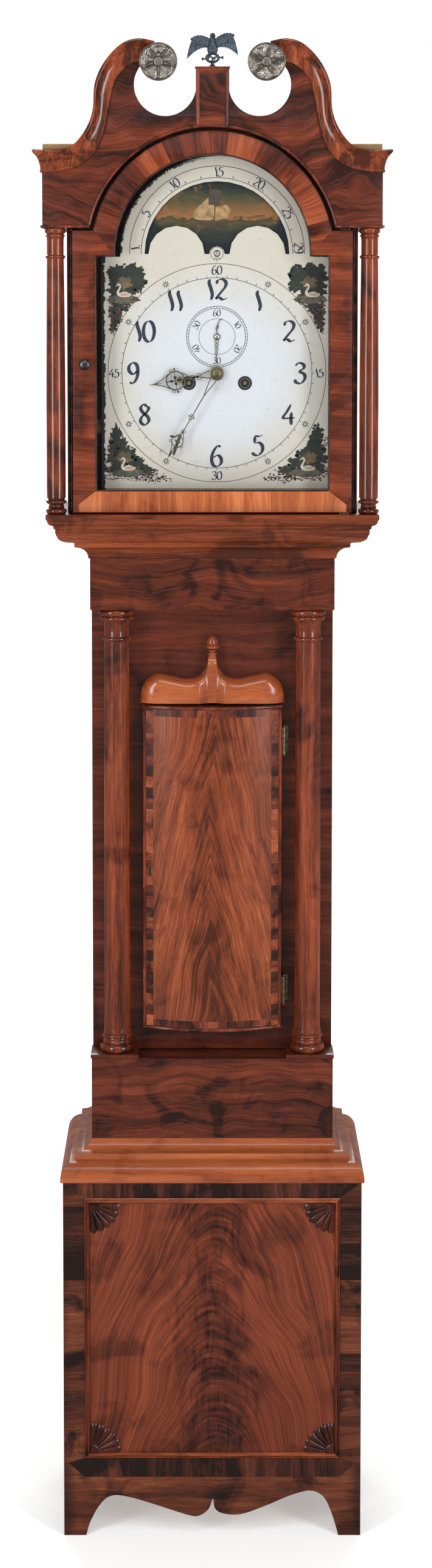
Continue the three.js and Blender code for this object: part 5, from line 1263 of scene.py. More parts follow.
def makeHoodDoor():
    e = edges("hood_door_frame")
    g = edges("hood_glass")
    half, low, back, front = e["x1"], e["z0"], e["d0"], e["d1"]
    inner, sill, arch = g["x1"] + gap, g["z0"] - gap, g["z1"] + gap - zArch
    shoulder = zTymp - 4
    outerArch = e["z1"] - zArch
    top = dialZ + 175.0
    loops = [archLoop(half, low, shoulder, outerArch), archLoop(inner, sill, top, arch)]
    dress(boardPiece("hoodDoorBoard", loops, back, front - 0.2, 0.8), "hood_door", woods["hoodDoor"],
        "hood_door_frame", slot="mahogany")
    skin = (front - 0.4, front + 0.05)
    start = math.degrees(math.asin((top - zArch) / arch))
    outerStart = math.degrees(math.asin((shoulder - zArch) / outerArch))
    archBand = [*arc(0, zArch, outerArch - 0.8, outerArch - 0.8, outerStart + 0.4, 179.6 - outerStart,
        80),
        *arc(0, zArch, arch + 1.4, arch + 1.4, 180 - start, start, 80)]
    dress(boardPiece("hoodDoorArchVeneer", [archBand], *skin, 0.08), "hood_door", woods["hoodArch"],
        slot="mahogany")
    rail = [(-half + 8, low + 0.8), (half - 8, low + 0.8), (half - 8, low + 12),
        (inner + 1.2, sill - 1.4), (-inner - 1.2, sill - 1.4), (-half + 8, low + 12)]
    dress(boardPiece("hoodDoorRailVeneer", [rail], *skin, 0.08), "hood_door", woods["hoodRail"],
        slot="mahogany")
    lip = [(x, front - 0.3, z) for x, z in archLoop(inner + 0.9, sill - 0.9, top + 0.6, arch + 0.8, 60)]
    # the lip takes the darker mahogany, its darkness painted shade at the edge of the glazed opening
    dress(beadPiece("hoodDoorLip", lip, 1.15, woods["side"], 10, 4.0, closed=True), "hood_door",
        woods["side"], slot="dark_mahogany")
    k = edges("hood_door_knob")
    x, z, d = (k["x0"] + k["x1"]) / 2, (k["z0"] + k["z1"]) / 2, k["d0"]
    knob = turnedForwardPiece("hoodDoorKnobTurned", [
        (0, d), (5.0, d), (5.2, d + 0.6), (4.8, d + 1.4), (3.4, d + 2.2), (2.9, d + 4), (3.0, d + 6.6),
        (4.6, d + 8), *arc(3.0, d + 11.4, 5.2, 3.6, -70, 60, 10), (3.2, d + 15.0),
        (0, d + 15.4)], x, z, 40, 50)
    dress(knob, "hood_door", metals["knob"], "hood_door_knob", slot="bronze")
    # the strips that the door closes between, each with a double bead, and the pintle plates at its hinge
    for label, sign in (("Left", -1), ("Right", 1)):
        strips = []
        for offset, radius in ((2.0, 1.5), (5.4, 1.5)):
            run = [(sign * (half + offset), front - 8.5, low + 2),
                (sign * (half + offset), front - 8.5, zTymp - 1)]
            strips.append(beadPiece("stileBead", run, radius, woods["bead"], 10, 30.0))
        strips.append(blockPiece("stileStrip", *sorted((sign * (half + 0.6), sign * (half + 7.4))),
            edges("hood_front_frame")["d1"] + 0.3, front - 8.6, low + 1, zTymp - 0.6, 0.4))
        # the set-back strip takes the darker mahogany as painted shade
        strips[-1].data.materials.append(woods["side"])
        both = joined("hoodStile" + label, strips, 40)
        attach(both, "hood")
    for name, z in (("pintlePlateHigh", zTymp - 1.9), ("pintlePlateLow", low - 0.9)):
        plate = blockPiece(name, 190, 205, front - 9, front + 1.2, z - 0.5, z + 0.5, 0.2)
        screw = turnedForwardPiece(name + "Pin", [(0, front + 0.6), (0.8, front + 0.6),
            (0.8, front + 1.6), (0.5, front + 1.9), (0, front + 2.0)], 197.5, z, 20)
        for piece in (plate, screw):
            piece.data.materials.append(metals["hingeBrass"])
        both = joined(name + "Fixed", [plate, screw], 40)
        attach(both, "hood")


def makeEagle():
    # a spread eagle on a ringed perch, built up from lumps and feathers and then melted into one casting
    e = edges("eagle_finial")
    z, depth = e["z0"], (e["d0"] + e["d1"]) / 2
    shape = bmesh.new()

    def lump(x, forward, up, rx, ry, rz, turn=0.0):
        matrix = (Matrix.Translation(place(x, depth + forward,
            z + up)) @ Matrix.Rotation(math.radians(turn), 4, "Y")
            @ Matrix.Diagonal((rx * mm, ry * mm, rz * mm, 1)))
        bmesh.ops.create_uvsphere(shape, u_segments=14, v_segments=10, radius=1.0, matrix=matrix)

    lump(0, 0, 31, 6.6, 5.6, 10.0)
    lump(0, 0.5, 24, 4.6, 4.4, 5.0)
    for side in (-1, 1):
        lump(side * 4.6, 1.0, 24.5, 3.2, 3.4, 6.0, side * 14)
        lump(side * 4.2, 1.6, 19.6, 1.8, 2.6, 2.0)
    lump(0, 1.0, 40, 4.2, 4.2, 5.0)
    lump(0.2, 2.0, 45.5, 4.3, 4.6, 4.4)
    lump(0.6, 6.0, 44.2, 1.3, 2.6, 1.4)
    for side, rise in ((-1, -3.0), (1, 2.4)):
        # the wing's arm, then its feathers hanging from it
        for k in range(7):
            t = k / 6
            x, up = side * (6 + 24 * t), 39 + rise * t + 7.0 * math.sin(t * 2.3)
            lump(x, -0.5, up, 4.0 - 1.2 * t, 2.4, 3.6 - 1.4 * t, side * 20)
        for k in range(11):
            t = k / 10
            x0, up0 = side * (7 + 23 * t), 38 + rise * t + 6.6 * math.sin(t * 2.3)
            length = 9 + 17 * t ** 1.15
            lean = side * (4 + 11 * t)
            lump(x0 + side * lean * side * 0.22, -0.9 + 0.5 * (k % 2), up0 - length * 0.52, 1.9, 1.3,
                length * 0.58, -lean)
            lump(x0 + side * 0.6, 0.9, up0 - 3.6 - 2.0 * t, 1.5, 0.9, 4.6 + 2.2 * t, -lean * 0.8)
    # perch: a pierced ring with a knob at each side, on a short foot
    for k in range(26):
        a = tau * k / 26
        lump(9.0 * math.cos(a), 0, 13.5 + 6.2 * math.sin(a), 1.9, 2.4, 1.9)
    for side, up in ((-1, 12.0), (1, 14.0)):
        lump(side * 12.4, 0, up, 2.6, 1.9, 1.3)
        lump(side * 15.0, 0, up, 1.4, 2.4, 2.6)
    for k in range(5):
        lump(-6 + 3 * k, 1.2, 14 + 2.2 * math.sin(k * 1.9), 1.7, 1.8, 2.6)
    addTurned(shape, [(0, z), (5.6, z), (5.4, z + 1.2), (3.2, z + 2.6), (2.4, z + 5), (3.0, z + 7.4),
        (5.0, z + 9), (0, z + 10)],
        0, depth, 24)
    data = bpy.data.meshes.new("eagleLumps")
    shape.to_mesh(data)
    shape.free()
    eagle = bpy.data.objects.new("eagleCasting", data)
    bpy.context.scene.collection.objects.link(eagle)
    melt = eagle.modifiers.new("melt", "REMESH")
    melt.mode = "VOXEL"
    melt.voxel_size = 0.42 * mm
    soft = eagle.modifiers.new("soft", "SMOOTH")
    soft.iterations = 2
    soft.factor = 0.5
    useUpModifiers(eagle, 80)
    dress(eagle, "hood", metals["bronze"], "eagle_finial", slot="bronze")


makeTympanum(hoodSettings)
makeSwanNecks(hoodSettings)
makeRosettes(hoodSettings)
makeFinialPlinth()
makeHoodColumns()
makeHoodBase()
makeHoodDoor()
makeEagle()
print("stage: hood")

# the dial: figures, rings, painted corners and the moon's scene

dialFront = dialBox["d1"]
strokes = {
    "0": [[(0.3 + 0.27 * math.sin(tau * k / 16), 0.5 + 0.5 * math.cos(tau * k / 16)) for k in range(17)]],
    "1": [[(0.30, 1), (0.24, 0.85), (0.33, 0.55), (0.40, 0.25), (0.33, 0)]],
    "2": [[(0.08, 0.78), (0.15, 0.95), (0.38, 1), (0.55, 0.85), (0.5, 0.62), (0.28, 0.35), (0.05, 0.05),
        (0.2, 0.12), (0.4, 0.02), (0.62, 0.1)]],
    "3": [[(0.08, 0.85), (0.25, 1), (0.48, 0.92), (0.5, 0.75), (0.3, 0.58), (0.52, 0.45), (0.55, 0.22),
        (0.35, 0), (0.1, 0.06), (0.08, 0.2)]],
    "4": [[(0.42, 1), (0.22, 0.65), (0.02, 0.35), (0.3, 0.33), (0.62, 0.36)],
        [(0.45, 0.62), (0.42, 0.3), (0.44, 0)]],
    "5": [[(0.15, 0.95), (0.12, 0.6)], [(0.15, 0.95), (0.35, 0.93), (0.55, 1)],
        [(0.12, 0.58), (0.35, 0.62), (0.52, 0.45), (0.5, 0.2), (0.3, 0), (0.08, 0.05), (0.05, 0.15)]],
    "6": [[(0.5, 0.95), (0.35, 1), (0.15, 0.75), (0.05, 0.4), (0.12, 0.08), (0.32, 0), (0.52, 0.15),
        (0.52, 0.4), (0.35, 0.55), (0.12, 0.42)]],
    "7": [[(0.05, 0.95), (0.3, 0.9), (0.55, 0.98), (0.4, 0.6), (0.22, 0)]],
    "8": [[(0.42, 0.9), (0.25, 1), (0.1, 0.82), (0.22, 0.6), (0.45, 0.4), (0.5, 0.18), (0.3, 0),
        (0.1, 0.15), (0.15, 0.38), (0.38, 0.6), (0.5, 0.8), (0.42, 0.9)]],
    "9": [[(0.48, 0.62), (0.3, 0.45), (0.1, 0.58), (0.08, 0.82), (0.25, 1), (0.45, 0.92), (0.52, 0.65),
        (0.48, 0.3), (0.3, 0.02), (0.1, 0.05)]],
}


def addRibbon(shape, points, widths, depth0, depth1):
    # a thin flat line of changing width, lying in x and z
    rings = []
    for k, (x, z) in enumerate(points):
        before, after = points[max(0, k - 1)], points[min(len(points) - 1, k + 1)]
        along = Vector((after[0] - before[0], after[1] - before[1]))
        along = along.normalized() if along.length > 1e-9 else Vector((1, 0))
        half = (widths[k] if isinstance(widths, list) else widths) / 2
        sx, sz = -along.y * half, along.x * half
        rings.append([place(x + sx, depth0, z + sz), place(x + sx, depth1, z + sz),
            place(x - sx, depth1, z - sz), place(x - sx, depth0, z - sz)])
    addRings(shape, rings)


def addCircle(shape, x, z, radius, width, depth0, depth1, start=0.0, end=360.0, steps=120):
    rings = []
    count = steps if end - start >= 360 else steps + 1
    for k in range(count):
        a = math.radians(start + (end - start) * k / steps)
        rings.append([place(x + r * math.cos(a), d, z + r * math.sin(a)) for r, d in (
            (radius - width / 2, depth0), (radius - width / 2, depth1), (radius + width / 2, depth1),
            (radius + width / 2, depth0))])
    addRings(shape, rings, closedEnds=end - start < 360, loop=end - start >= 360)


def addPatch(shape, points, depth0, depth1):
    # a flat filled outline, made as a prism
    area = sum(a[0] * b[1] - b[0] * a[1] for a, b in zip(points, points[1:] + points[:1]))
    wanted = points if area > 0 else points[::-1]
    low = [shape.verts.new(place(x, depth0, z)) for x, z in wanted]
    high = [shape.verts.new(place(x, depth1, z)) for x, z in wanted]
    shape.faces.new(low[::-1])
    shape.faces.new(high)
    for k in range(len(wanted)):
        n = (k + 1) % len(wanted)
        shape.faces.new((low[k], low[n], high[n], high[k]))


def addNumber(shape, text, x, z, tall, turn, broad, depth0, depth1):
    # broad-pen figures: thick on the downstrokes and thin on the hairlines
    widths = [(0.42 if c == "1" else 0.62) for c in text]
    across = -sum(widths) * tall / 2
    c, s = math.cos(turn), math.sin(turn)
    for letter, wide in zip(text, widths):
        for stroke in strokes[letter]:
            path = flow(stroke, 4)
            points, pen = [], []
            for k, (u, v) in enumerate(path):
                a, b = path[max(0, k - 1)], path[min(len(path) - 1, k + 1)]
                angle = math.atan2(b[1] - a[1], b[0] - a[0])
                share = abs(math.sin(angle - math.radians(20)))
                ends = min(1.0, 0.45 + 0.3 * min(k, len(path) - 1 - k))
                pen.append(broad * tall * (0.22 + 0.78 * share) * ends)
                lx = across + (u + (0.0 if wide > 0.5 else -0.1)) * tall * 0.98
                lz = (v - 0.5) * tall
                points.append((x + lx * c + lz * s, z - lx * s + lz * c))
            addRibbon(shape, points, pen, depth0, depth1)
        across += wide * tall


def inkPiece(name, draw, material, body="case", slot="moon_paint"):
    shape = bmesh.new()
    draw(shape)
    piece = meshPiece(name, shape, 20, merge=0.0)
    dress(piece, body, material, slot=slot)
    return piece


def polar(radius, minutes, x=None, z=None):
    angle = tau * minutes / 60
    return (dialX if x is None else x) + radius * math.sin(angle), (dialZ if z is None
        else z) + radius * math.cos(angle)


def tickRing(name, count, radius, tall, wide, x, z, material):
    unit = bpy.data.objects.new(name + "Unit", bpy.data.meshes.new(name + "Unit"))
    shape = bmesh.new()
    addBlock(shape, -wide / 2, wide / 2, 0, 0.1, -tall / 2, tall / 2)
    for vertex in shape.verts:
        vertex.co.y -= backFace
    shape.to_mesh(unit.data)
    shape.free()
    bpy.context.scene.collection.objects.link(unit)
    ring = ringOfCopies(name, unit, material, count, radius, x, dialFront, z, smooth=20)
    dress(ring, "case", material, slot="moon_paint")


dialSettings = {
    "outerRing": 164.6, "minuteRing": 143.5, "ringLine": 0.8, "moonRings": (114.2, 131.7),
    "moonLine": 0.9,
    "secondsRise": 54.7, "secondsRings": ((46.1, 0.7), (43.0, 0.7), (27.2, 0.6)), "windingX": 42.3,
    "windingDrop": 15.0,
    # how far out the figures stand, how tall they are, and how broad the pen is
    "hours": (125.6, 31.0, 0.175), "quarters": (155.0, 12.8, 0.17), "seconds": (35.8, 9.4, 0.15),
    "days": (123.0, 14.0, 0.16),
}


def makeDialLines(s):
    low, high = dialFront, dialFront + 0.1
    moonZ = zArch - 1.0
    secondsZ = dialZ + s["secondsRise"]

    def circles(shape):
        for radius in (s["outerRing"], s["minuteRing"]):
            addCircle(shape, dialX, dialZ, radius, s["ringLine"], low, high, steps=160)
        for radius, width in s["secondsRings"]:
            addCircle(shape, dialX, secondsZ, radius, width, low, high, steps=96)
        for radius in s["moonRings"]:
            addCircle(shape, dialX, moonZ, radius, s["moonLine"], low, high, 0, 180, 100)
        for minute in (5, 10, 20, 25, 35, 40, 50, 55):
            sx, sz = polar(154, minute)
            for ray in range(8):
                a = tau * ray / 8 + 0.2
                addRibbon(shape, [(sx + r * math.cos(a), sz + r * math.sin(a)) for r in (1.6, 3.6, 5.6)],
                    [1.5, 1.2, 0.5], low, high)
        for a, b in ((-2.2, 10), (2.0, 9), (0, 13)):
            addRibbon(shape, [(dialX + a * 0.4, moonZ + 6), (dialX + a, moonZ - b * 0.5),
                (dialX + a * 2.4, moonZ - b)], 0.6, low, high)
        addCircle(shape, dialX, moonZ + 1.0, 9.4, 0.7, low, high, steps=40)
        addCircle(shape, dialX, moonZ + 1.0, 4.4, 1.4, low, high, steps=28)

    inkPiece("dialFineLines", circles, paints["fineInk"])

    def figures(shape):
        away, tall, broad = s["hours"]
        for hour in range(1, 13):
            x, z = polar(away, hour * 5)
            addNumber(shape, str(hour), x, z, tall, 0.0, broad, low, high)
        away, tall, broad = s["quarters"]
        for text, at in (("60", 0), ("15", 15), ("30", 30), ("45", 45)):
            x, z = polar(away, at)
            addNumber(shape, text, x, z, tall, 0.0, broad, low, high)
        away, tall, broad = s["seconds"]
        for text, at in (("60", 0), ("10", 10), ("20", 20), ("30", 30), ("40", 40), ("50", 50)):
            x, z = polar(away, at, dialX, secondsZ)
            addNumber(shape, text, x, z, tall, 0.0 if at in (0, 30) else tau * at / 60, broad, low, high)
        away, tall, broad = s["days"]
        for text, at in (("1", -86), ("5", -60), ("10", -31), ("15", 1.5), ("20", 31), ("25", 60),
                ("29", 86)):
            a = math.radians(at)
            addNumber(shape, text, dialX + away * math.sin(a), moonZ + away * math.cos(a), tall, a, broad,
                low, high)
        for k in range(15):
            a = math.radians(-84 + 12 * k)
            addPatch(shape, [(dialX + r * math.sin(a + t), moonZ + r * math.cos(a + t)) for r, t in (
                (113.6, 0.0), (118.4, -0.008), (118.4, 0.008))], low, high)

    inkPiece("dialFigures", figures, paints["ink"])
    tickRing("minuteTicks", 60, 145.4, 4.0, 0.8, dialX, dialZ, paints["fineInk"])
    tickRing("secondTicks", 60, 44.5, 2.8, 0.6, dialX, secondsZ, paints["fineInk"])
    for label, sign in (("Left", -1), ("Right", 1)):
        x, z = dialX + sign * s["windingX"], dialZ - s["windingDrop"]
        # painted shadow: a dark ring round each winding hole stands for the shade in the hole
        rim = turnedForwardPiece("windingRim" + label, [
            (7.4, low - 1.6), (7.4, low + 0.5), (8.0, low + 1.3), (9.4, low + 1.5), (10.4, low + 0.9),
            (10.6, low), (10.2, low - 0.02), (9.8, low - 0.01), (8.4, low - 1.6),
            (7.4, low - 1.6)], x, z, 40, 45)
        dress(rim, "case", paints["shadow"], slot="moon_paint")


def ragged(cx, cz, rx, rz, seed, rough=0.22, count=44):
    dice = random.Random(seed)
    phases = [dice.random() * tau for _ in range(6)]
    points = []
    for k in range(count):
        a = tau * k / count
        grow = 1 + rough * (0.5 * math.sin(5 * a + phases[0]) + 0.45 * math.sin(9 * a + phases[1])
            + 0.4 * math.sin(16 * a + phases[2]))
        points.append((cx + rx * grow * math.cos(a), cz + rz * grow * math.sin(a)))
    return points


def swanPoints(x, z, size):
    outline = [(-1.0, 0.05), (-1.25, 0.42), (-0.9, 0.5), (-0.45, 0.72), (0.1, 0.66), (0.42, 0.5),
        (0.5, 0.8), (0.3, 1.15), (0.22, 1.5), (0.4, 1.82), (0.68, 1.86), (0.85, 1.62), (1.12, 1.44),
        (0.9, 1.46), (0.66, 1.56), (0.6, 1.62), (0.48, 1.5), (0.56, 1.2), (0.82, 0.8), (0.86, 0.4),
        (0.6, 0.08), (0.1, -0.06), (-0.5, -0.04)]
    return [(x - u * size, z + v * size) for u, v in flow(outline, 3, closed=True)]


def makeCorners():
    step = 0.04
    for label, sx, sz in (("HighLeft", -1, 1), ("HighRight", 1, 1), ("LowLeft", -1, -1),
            ("LowRight", 1, -1)):
        base = dialFront

        def spot(u, v):
            return dialX + sx * u, dialZ + v

        def foliage(shape, seed=(3 if sx < 0 else 8) + (20 if sz < 0 else 0)):
            dice = random.Random(seed)
            blobs = []
            if sz > 0:
                blobs = [(137, 140, 27, 22), (152, 152, 12, 10), (121, 152, 12, 9), (150, 124, 13, 13),
                    (117, 136, 9, 13), (140, 112, 17, 9), (148, 100, 12, 9), (153, 88, 9, 11),
                    (156, 74, 5, 10)]
            else:
                blobs = [(152, -96, 8, 17), (148, -110, 13, 14), (150, -126, 17, 14), (136, -124, 14, 12),
                    (122, -136, 13, 9), (108, -147, 13, 7), (148, -146, 18, 9)]
            for n, (u, v, ru, rv) in enumerate(blobs):
                cx, cz = spot(u, v)
                addPatch(shape, ragged(cx, cz, ru, rv, seed + n, 0.3), base, base + step * (1 + n * 0.12))
            for n in range(46):
                u, v, ru, rv = blobs[n % len(blobs)]
                a = dice.random() * tau
                cx, cz = spot(u + ru * 1.08 * math.cos(a), v + rv * 1.08 * math.sin(a))
                r = 1.3 + dice.random() * 2.2
                addPatch(shape, ragged(cx, cz, r, r * 0.8, seed + n + 50, 0.3, 9), base,
                    base + step * 2.4)

        def water(shape):
            u, v = (141, 111) if sz > 0 else (134, -151)
            cx, cz = spot(u, v)
            addPatch(shape, ragged(cx, cz, 25, 6.5, 11 if sx < 0 else 17, 0.1), base, base + step * 3)

        def glow(shape):
            u, v = (139, 136) if sz > 0 else (140, -128)
            cx, cz = spot(u, v)
            addPatch(shape, ragged(cx, cz, 11, 9, 5 if sx < 0 else 6, 0.3), base, base + step * 3)

        def swan(shape):
            u, v = (142, 115) if sz > 0 else (136, -147)
            cx, cz = spot(u, v)
            addPatch(shape, swanPoints(cx, cz, 10.6), base, base + step * 6)

        def wing(shape):
            u, v = (142, 115) if sz > 0 else (136, -147)
            cx, cz = spot(u, v)
            addPatch(shape, ragged(cx + 3.6, cz + 3.4, 7.2, 2.6, 4, 0.1, 24), base, base + step * 7)

        def twigs(shape):
            dice = random.Random(31 if sx < 0 else 47)
            if sz > 0:
                runs = [[(158, 112), (160, 92), (155, 78), (158, 62)],
                    [(120, 112), (132, 103), (150, 96)], [(150, 96), (146, 84), (152, 76)]]
            else:
                runs = [[(158, -158), (132, -160), (100, -157), (72, -160)],
                    [(120, -160), (104, -152), (92, -150)],
                    [(110, -159), (96, -163), (80, -155)], [(164, -100), (160, -130), (164, -156)]]
            for run in runs:
                line = [spot(u, v) for u, v in flow(run, 6)]
                addRibbon(shape, line, 0.8, base, base + step * 4)
                for x, z in line:
                    for _ in range(3):
                        ox, oz = x + dice.uniform(-4, 4), z + dice.uniform(-4, 4)
                        r = dice.uniform(0.8, 1.9)
                        addPatch(shape, ragged(ox, oz, r, r * 0.7, dice.randint(0, 99), 0.3, 7), base,
                            base + step * 4.5)

        inkPiece("foliage" + label, foliage, paints["foliage"])
        inkPiece("glow" + label, glow, paints["glow"])
        inkPiece("water" + label, water, paints["water"])
        inkPiece("twigs" + label, twigs, paints["twig"])
        inkPiece("swan" + label, swan, paints["swan"])
        inkPiece("swanWing" + label, wing, paints["swanBody"])


def makeMoonScene():
    e = edges("moon_disc")
    front = e["d1"]
    cx, cz = dialX, zArch - 1.0

    def addAll(shape, patches, proud):
        for points in patches:
            addPatch(shape, [(cx + u, cz + v) for u, v in points], front, front + proud)

    hull = [(-30, 49), (-24, 43), (4, 42), (14, 44.5), (19, 50), (6, 48), (-16, 48.5)]
    sail = flow([(-34, 53), (-20, 51), (-5, 53), (-4, 72), (-6, 90), (-16, 82), (-27, 72), (-35, 62)], 3,
        closed=True)
    aft = [(-13, 74), (-12, 97), (6, 96), (4, 72)]
    jib = [(-3, 50), (-2, 70), (14, 74), (22, 66), (16, 54)]
    inkPiece("shipSail", lambda shape: addAll(shape, [sail, jib], 0.12), paints["sail"], "moon")
    inkPiece("shipTopsail", lambda shape: addAll(shape, [aft], 0.2), paints["sailDark"], "moon")
    inkPiece("shipHull", lambda shape: (addAll(shape, [hull], 0.28),
        addRibbon(shape, [(cx - 4.0, cz + 46), (cx - 3.0, cz + 98)], 0.9, front, front + 0.36)),
        paints["shipWood"], "moon")
    for number, sign in enumerate((-1, 1)):
        inkPiece("moonFace" + ("Left", "Right")[number], lambda shape: addPatch(shape, [
            (cx + sign * 61 + 36 * math.cos(tau * k / 56), cz + 36 * math.sin(tau * k / 56))
            for k in range(56)], front, front + 0.1),
            paints["moonGold"], "moon")


paints.update({
    "foliage": paint("paintedFoliage", tone(38, 46, 38), tone(16, 24, 24), 0.45, 9.0, wear=0.06,
        wearAndShade=tone(92, 84, 58), grain=0.2),
    "glow": paint("paintedGlow", tone(104, 86, 58), tone(52, 54, 44), 0.5, 16.0, grain=0.2),
    "water": paint("paintedWater", tone(96, 92, 74), tone(48, 58, 56), 0.45, 9.0, grain=0.2),
    "twig": paint("paintedTwigs", tone(92, 62, 60), tone(54, 36, 42), 0.5, 6.0, grain=0.2),
    "swan": paint("paintedSwan", tone(196, 190, 178), tone(176, 158, 138), 0.5, 16.0, grain=0.2),
    "swanBody": paint("paintedSwanWing", tone(176, 150, 128), tone(160, 130, 106), 0.5, 9.0, grain=0.2),
    "sail": paint("paintedSail", tone(164, 132, 84), tone(104, 82, 56), 0.5, 12.0, grain=0.2),
    "sailDark": paint("paintedTopsail", tone(66, 56, 44), tone(40, 36, 32), 0.5, 12.0, grain=0.2),
    "shipWood": paint("paintedHull", tone(70, 44, 30), tone(40, 28, 22), 0.5, 12.0, grain=0.2),
    "moonGold": paint("paintedMoon", tone(206, 178, 112), tone(176, 142, 82), 0.45, 30.0, grain=0.2),
})


def dialPaint():
    # white ground, creamier to the edges, with crazing and stains about the arbors, and a ragged dark band
    # of painted shade down the left edge and round the left of the arch, standing for the gap between the
    # dial and the door's opening
    f = Finish("dialPaint")
    spot = f.spot()
    x, _, z = f.split(spot)
    dx, dz = f.minus(x, dialX), f.minus(z, dialZ)
    away = f.math("SQRT", f.plus(f.times(dx, dx), f.times(dz, dz)))
    cloud = f.noise(spot, 0.012, 4.0, 0.6, 0.6)
    edge = f.spread(f.plus(away, f.times(cloud, 70.0)), 110.0, 215.0)
    colour = f.blend(edge, tone(192, 197, 202), tone(186, 182, 170))
    colour = f.blend(f.times(f.spread(f.noise(spot, 0.09, 5.0, 0.7), 0.56, 0.72), 0.25), colour,
        tone(146, 138, 118))
    low = f.plus(dz, 18.0)
    smear = f.math("SQRT", f.plus(f.times(f.times(dx, 0.42), f.times(dx, 0.42)), f.times(low, low)))
    colour = f.blend(f.times(f.spread(f.plus(smear, f.times(cloud, 26.0)), 34.0, 14.0), 0.16), colour,
        tone(150, 140, 120))
    edgeRagging = f.noise(spot, 0.14, 4.0, 0.7)
    # painted shade: a ragged dark band down the dial's left edge stands for the gap between the dial and the
    # door's opening
    left = f.plus(f.minus(dx, -175.0), f.times(f.minus(edgeRagging, 0.5), 14.0))
    colour = f.blend(f.spread(left, 6.4, 5.2), colour, tone(28, 30, 32))
    # painted shade: the same dark gap carried round the left side of the arch
    arch = f.minus(dz, 179.0)
    rim = f.math("SQRT", f.plus(f.times(dx, dx), f.times(arch, arch)))
    wearAndShade = f.times(f.spread(f.plus(rim, f.times(f.minus(edgeRagging, 0.5), 16.0)), 143.0, 144.6),
        f.times(f.spread(dz, 178.0, 182.0), f.spread(dx, 10.0, -60.0)))
    colour = f.blend(wearAndShade, colour, tone(36, 36, 36))
    specks = f.spread(f.noise(spot, 0.5, 3.0, 0.6), 0.71, 0.745)
    colour = f.blend(f.times(specks, 0.55), colour, tone(96, 86, 70))
    normal = f.bump(f.noise(spot, 0.2, 4.0, 0.6), 0.2, 0.12)
    return f.use(Base_Color=colour, Roughness=0.34, Normal=normal, Specular_IOR_Level=0.35)


def moonPaint():
    # a harbour at dusk, fading to a dark rim
    f = Finish("moonScenePaint")
    spot = f.spot()
    x, _, z = f.split(spot)
    dx, dz = f.minus(x, dialX), f.minus(z, zArch - 1.0)
    cloud = f.noise(f.combine(f.times(dx, 0.55), 3.0, dz), 0.06, 5.0, 0.62, 1.4)
    height = f.plus(dz, f.times(f.minus(cloud, 0.5), 34.0))
    scene = f.ramp(f.spread(height, 26.0, 110.0), [(0.0, tone(36, 42, 34)), (0.16, tone(76, 70, 42)),
        (0.24, tone(60, 54, 34)), (0.3, tone(136, 90, 52)), (0.42, tone(112, 82, 46)),
        (0.6, tone(90, 72, 42)), (0.8, tone(60, 62, 40)), (0.96, tone(28, 36, 34))])
    puffs = f.spread(f.noise(f.combine(dx, 9.0, dz), 0.045, 5.0, 0.6, 1.0), 0.54, 0.7)
    scene = f.blend(f.times(puffs, 0.7), scene, tone(132, 88, 52))
    across = f.over(dx, 96.0)
    up = f.over(f.minus(dz, 62.0), 44.0)
    away = f.plus(f.times(across, across), f.times(up, up))
    colour = f.blend(f.spread(f.plus(away, f.times(cloud, 0.3)), 1.0, 1.32), scene, tone(20, 30, 38))
    return f.use(Base_Color=colour, Roughness=0.4, Specular_IOR_Level=0.3)


makeDialLines(dialSettings)
makeCorners()
makeMoonScene()
print("stage: dial")

# the hands

def handPiece(name, node, body, draw, angle, x, z, depth0, depth1, parts=()):
    # drawn pointing along v, with u to its right, and then turned clockwise to the time it shows
    a = math.radians(angle)
    sa, ca = math.sin(a), math.cos(a)

    def turn(u, v):
        return x + u * ca + v * sa, z - u * sa + v * ca

    shape = bmesh.new()
    pen = {
        "line": lambda points, widths: addRibbon(shape, [turn(u, v) for u, v in points], widths, depth0,
            depth1),
        "ring": lambda u, v, radius, width: addCircle(shape, *turn(u, v), radius, width, depth0, depth1,
            steps=44),
        "patch": lambda points: addPatch(shape, [turn(u, v) for u, v in points], depth0, depth1),
        "dot": lambda u, v, radius: addPatch(shape,
            [turn(u + radius * math.cos(tau * k / 20), v + radius * math.sin(tau * k / 20))
                for k in range(20)], depth0, depth1),
    }
    draw(pen)
    flat = meshPiece(name + "Flat", shape, 30, merge=0.0)
    flat.data.materials.append(metals["gilt"])
    both = joined(name, [flat, *parts], 30)
    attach(both, body)
    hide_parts(node)


def scroll(pen, u, v, size, sideways, upwards, width=1.1):
    # a small open curl, ending in a dot
    path = [(u + sideways * size * (1 - 0.085 * k) * math.sin(0.5 * k),
        v + upwards * size * (1 - (1 - 0.085 * k) * math.cos(0.5 * k)))
        for k in range(10)]
    pen["line"](path, [width * (1 - 0.05 * k) for k in range(10)])
    pen["dot"](*path[-1], width * 0.85)


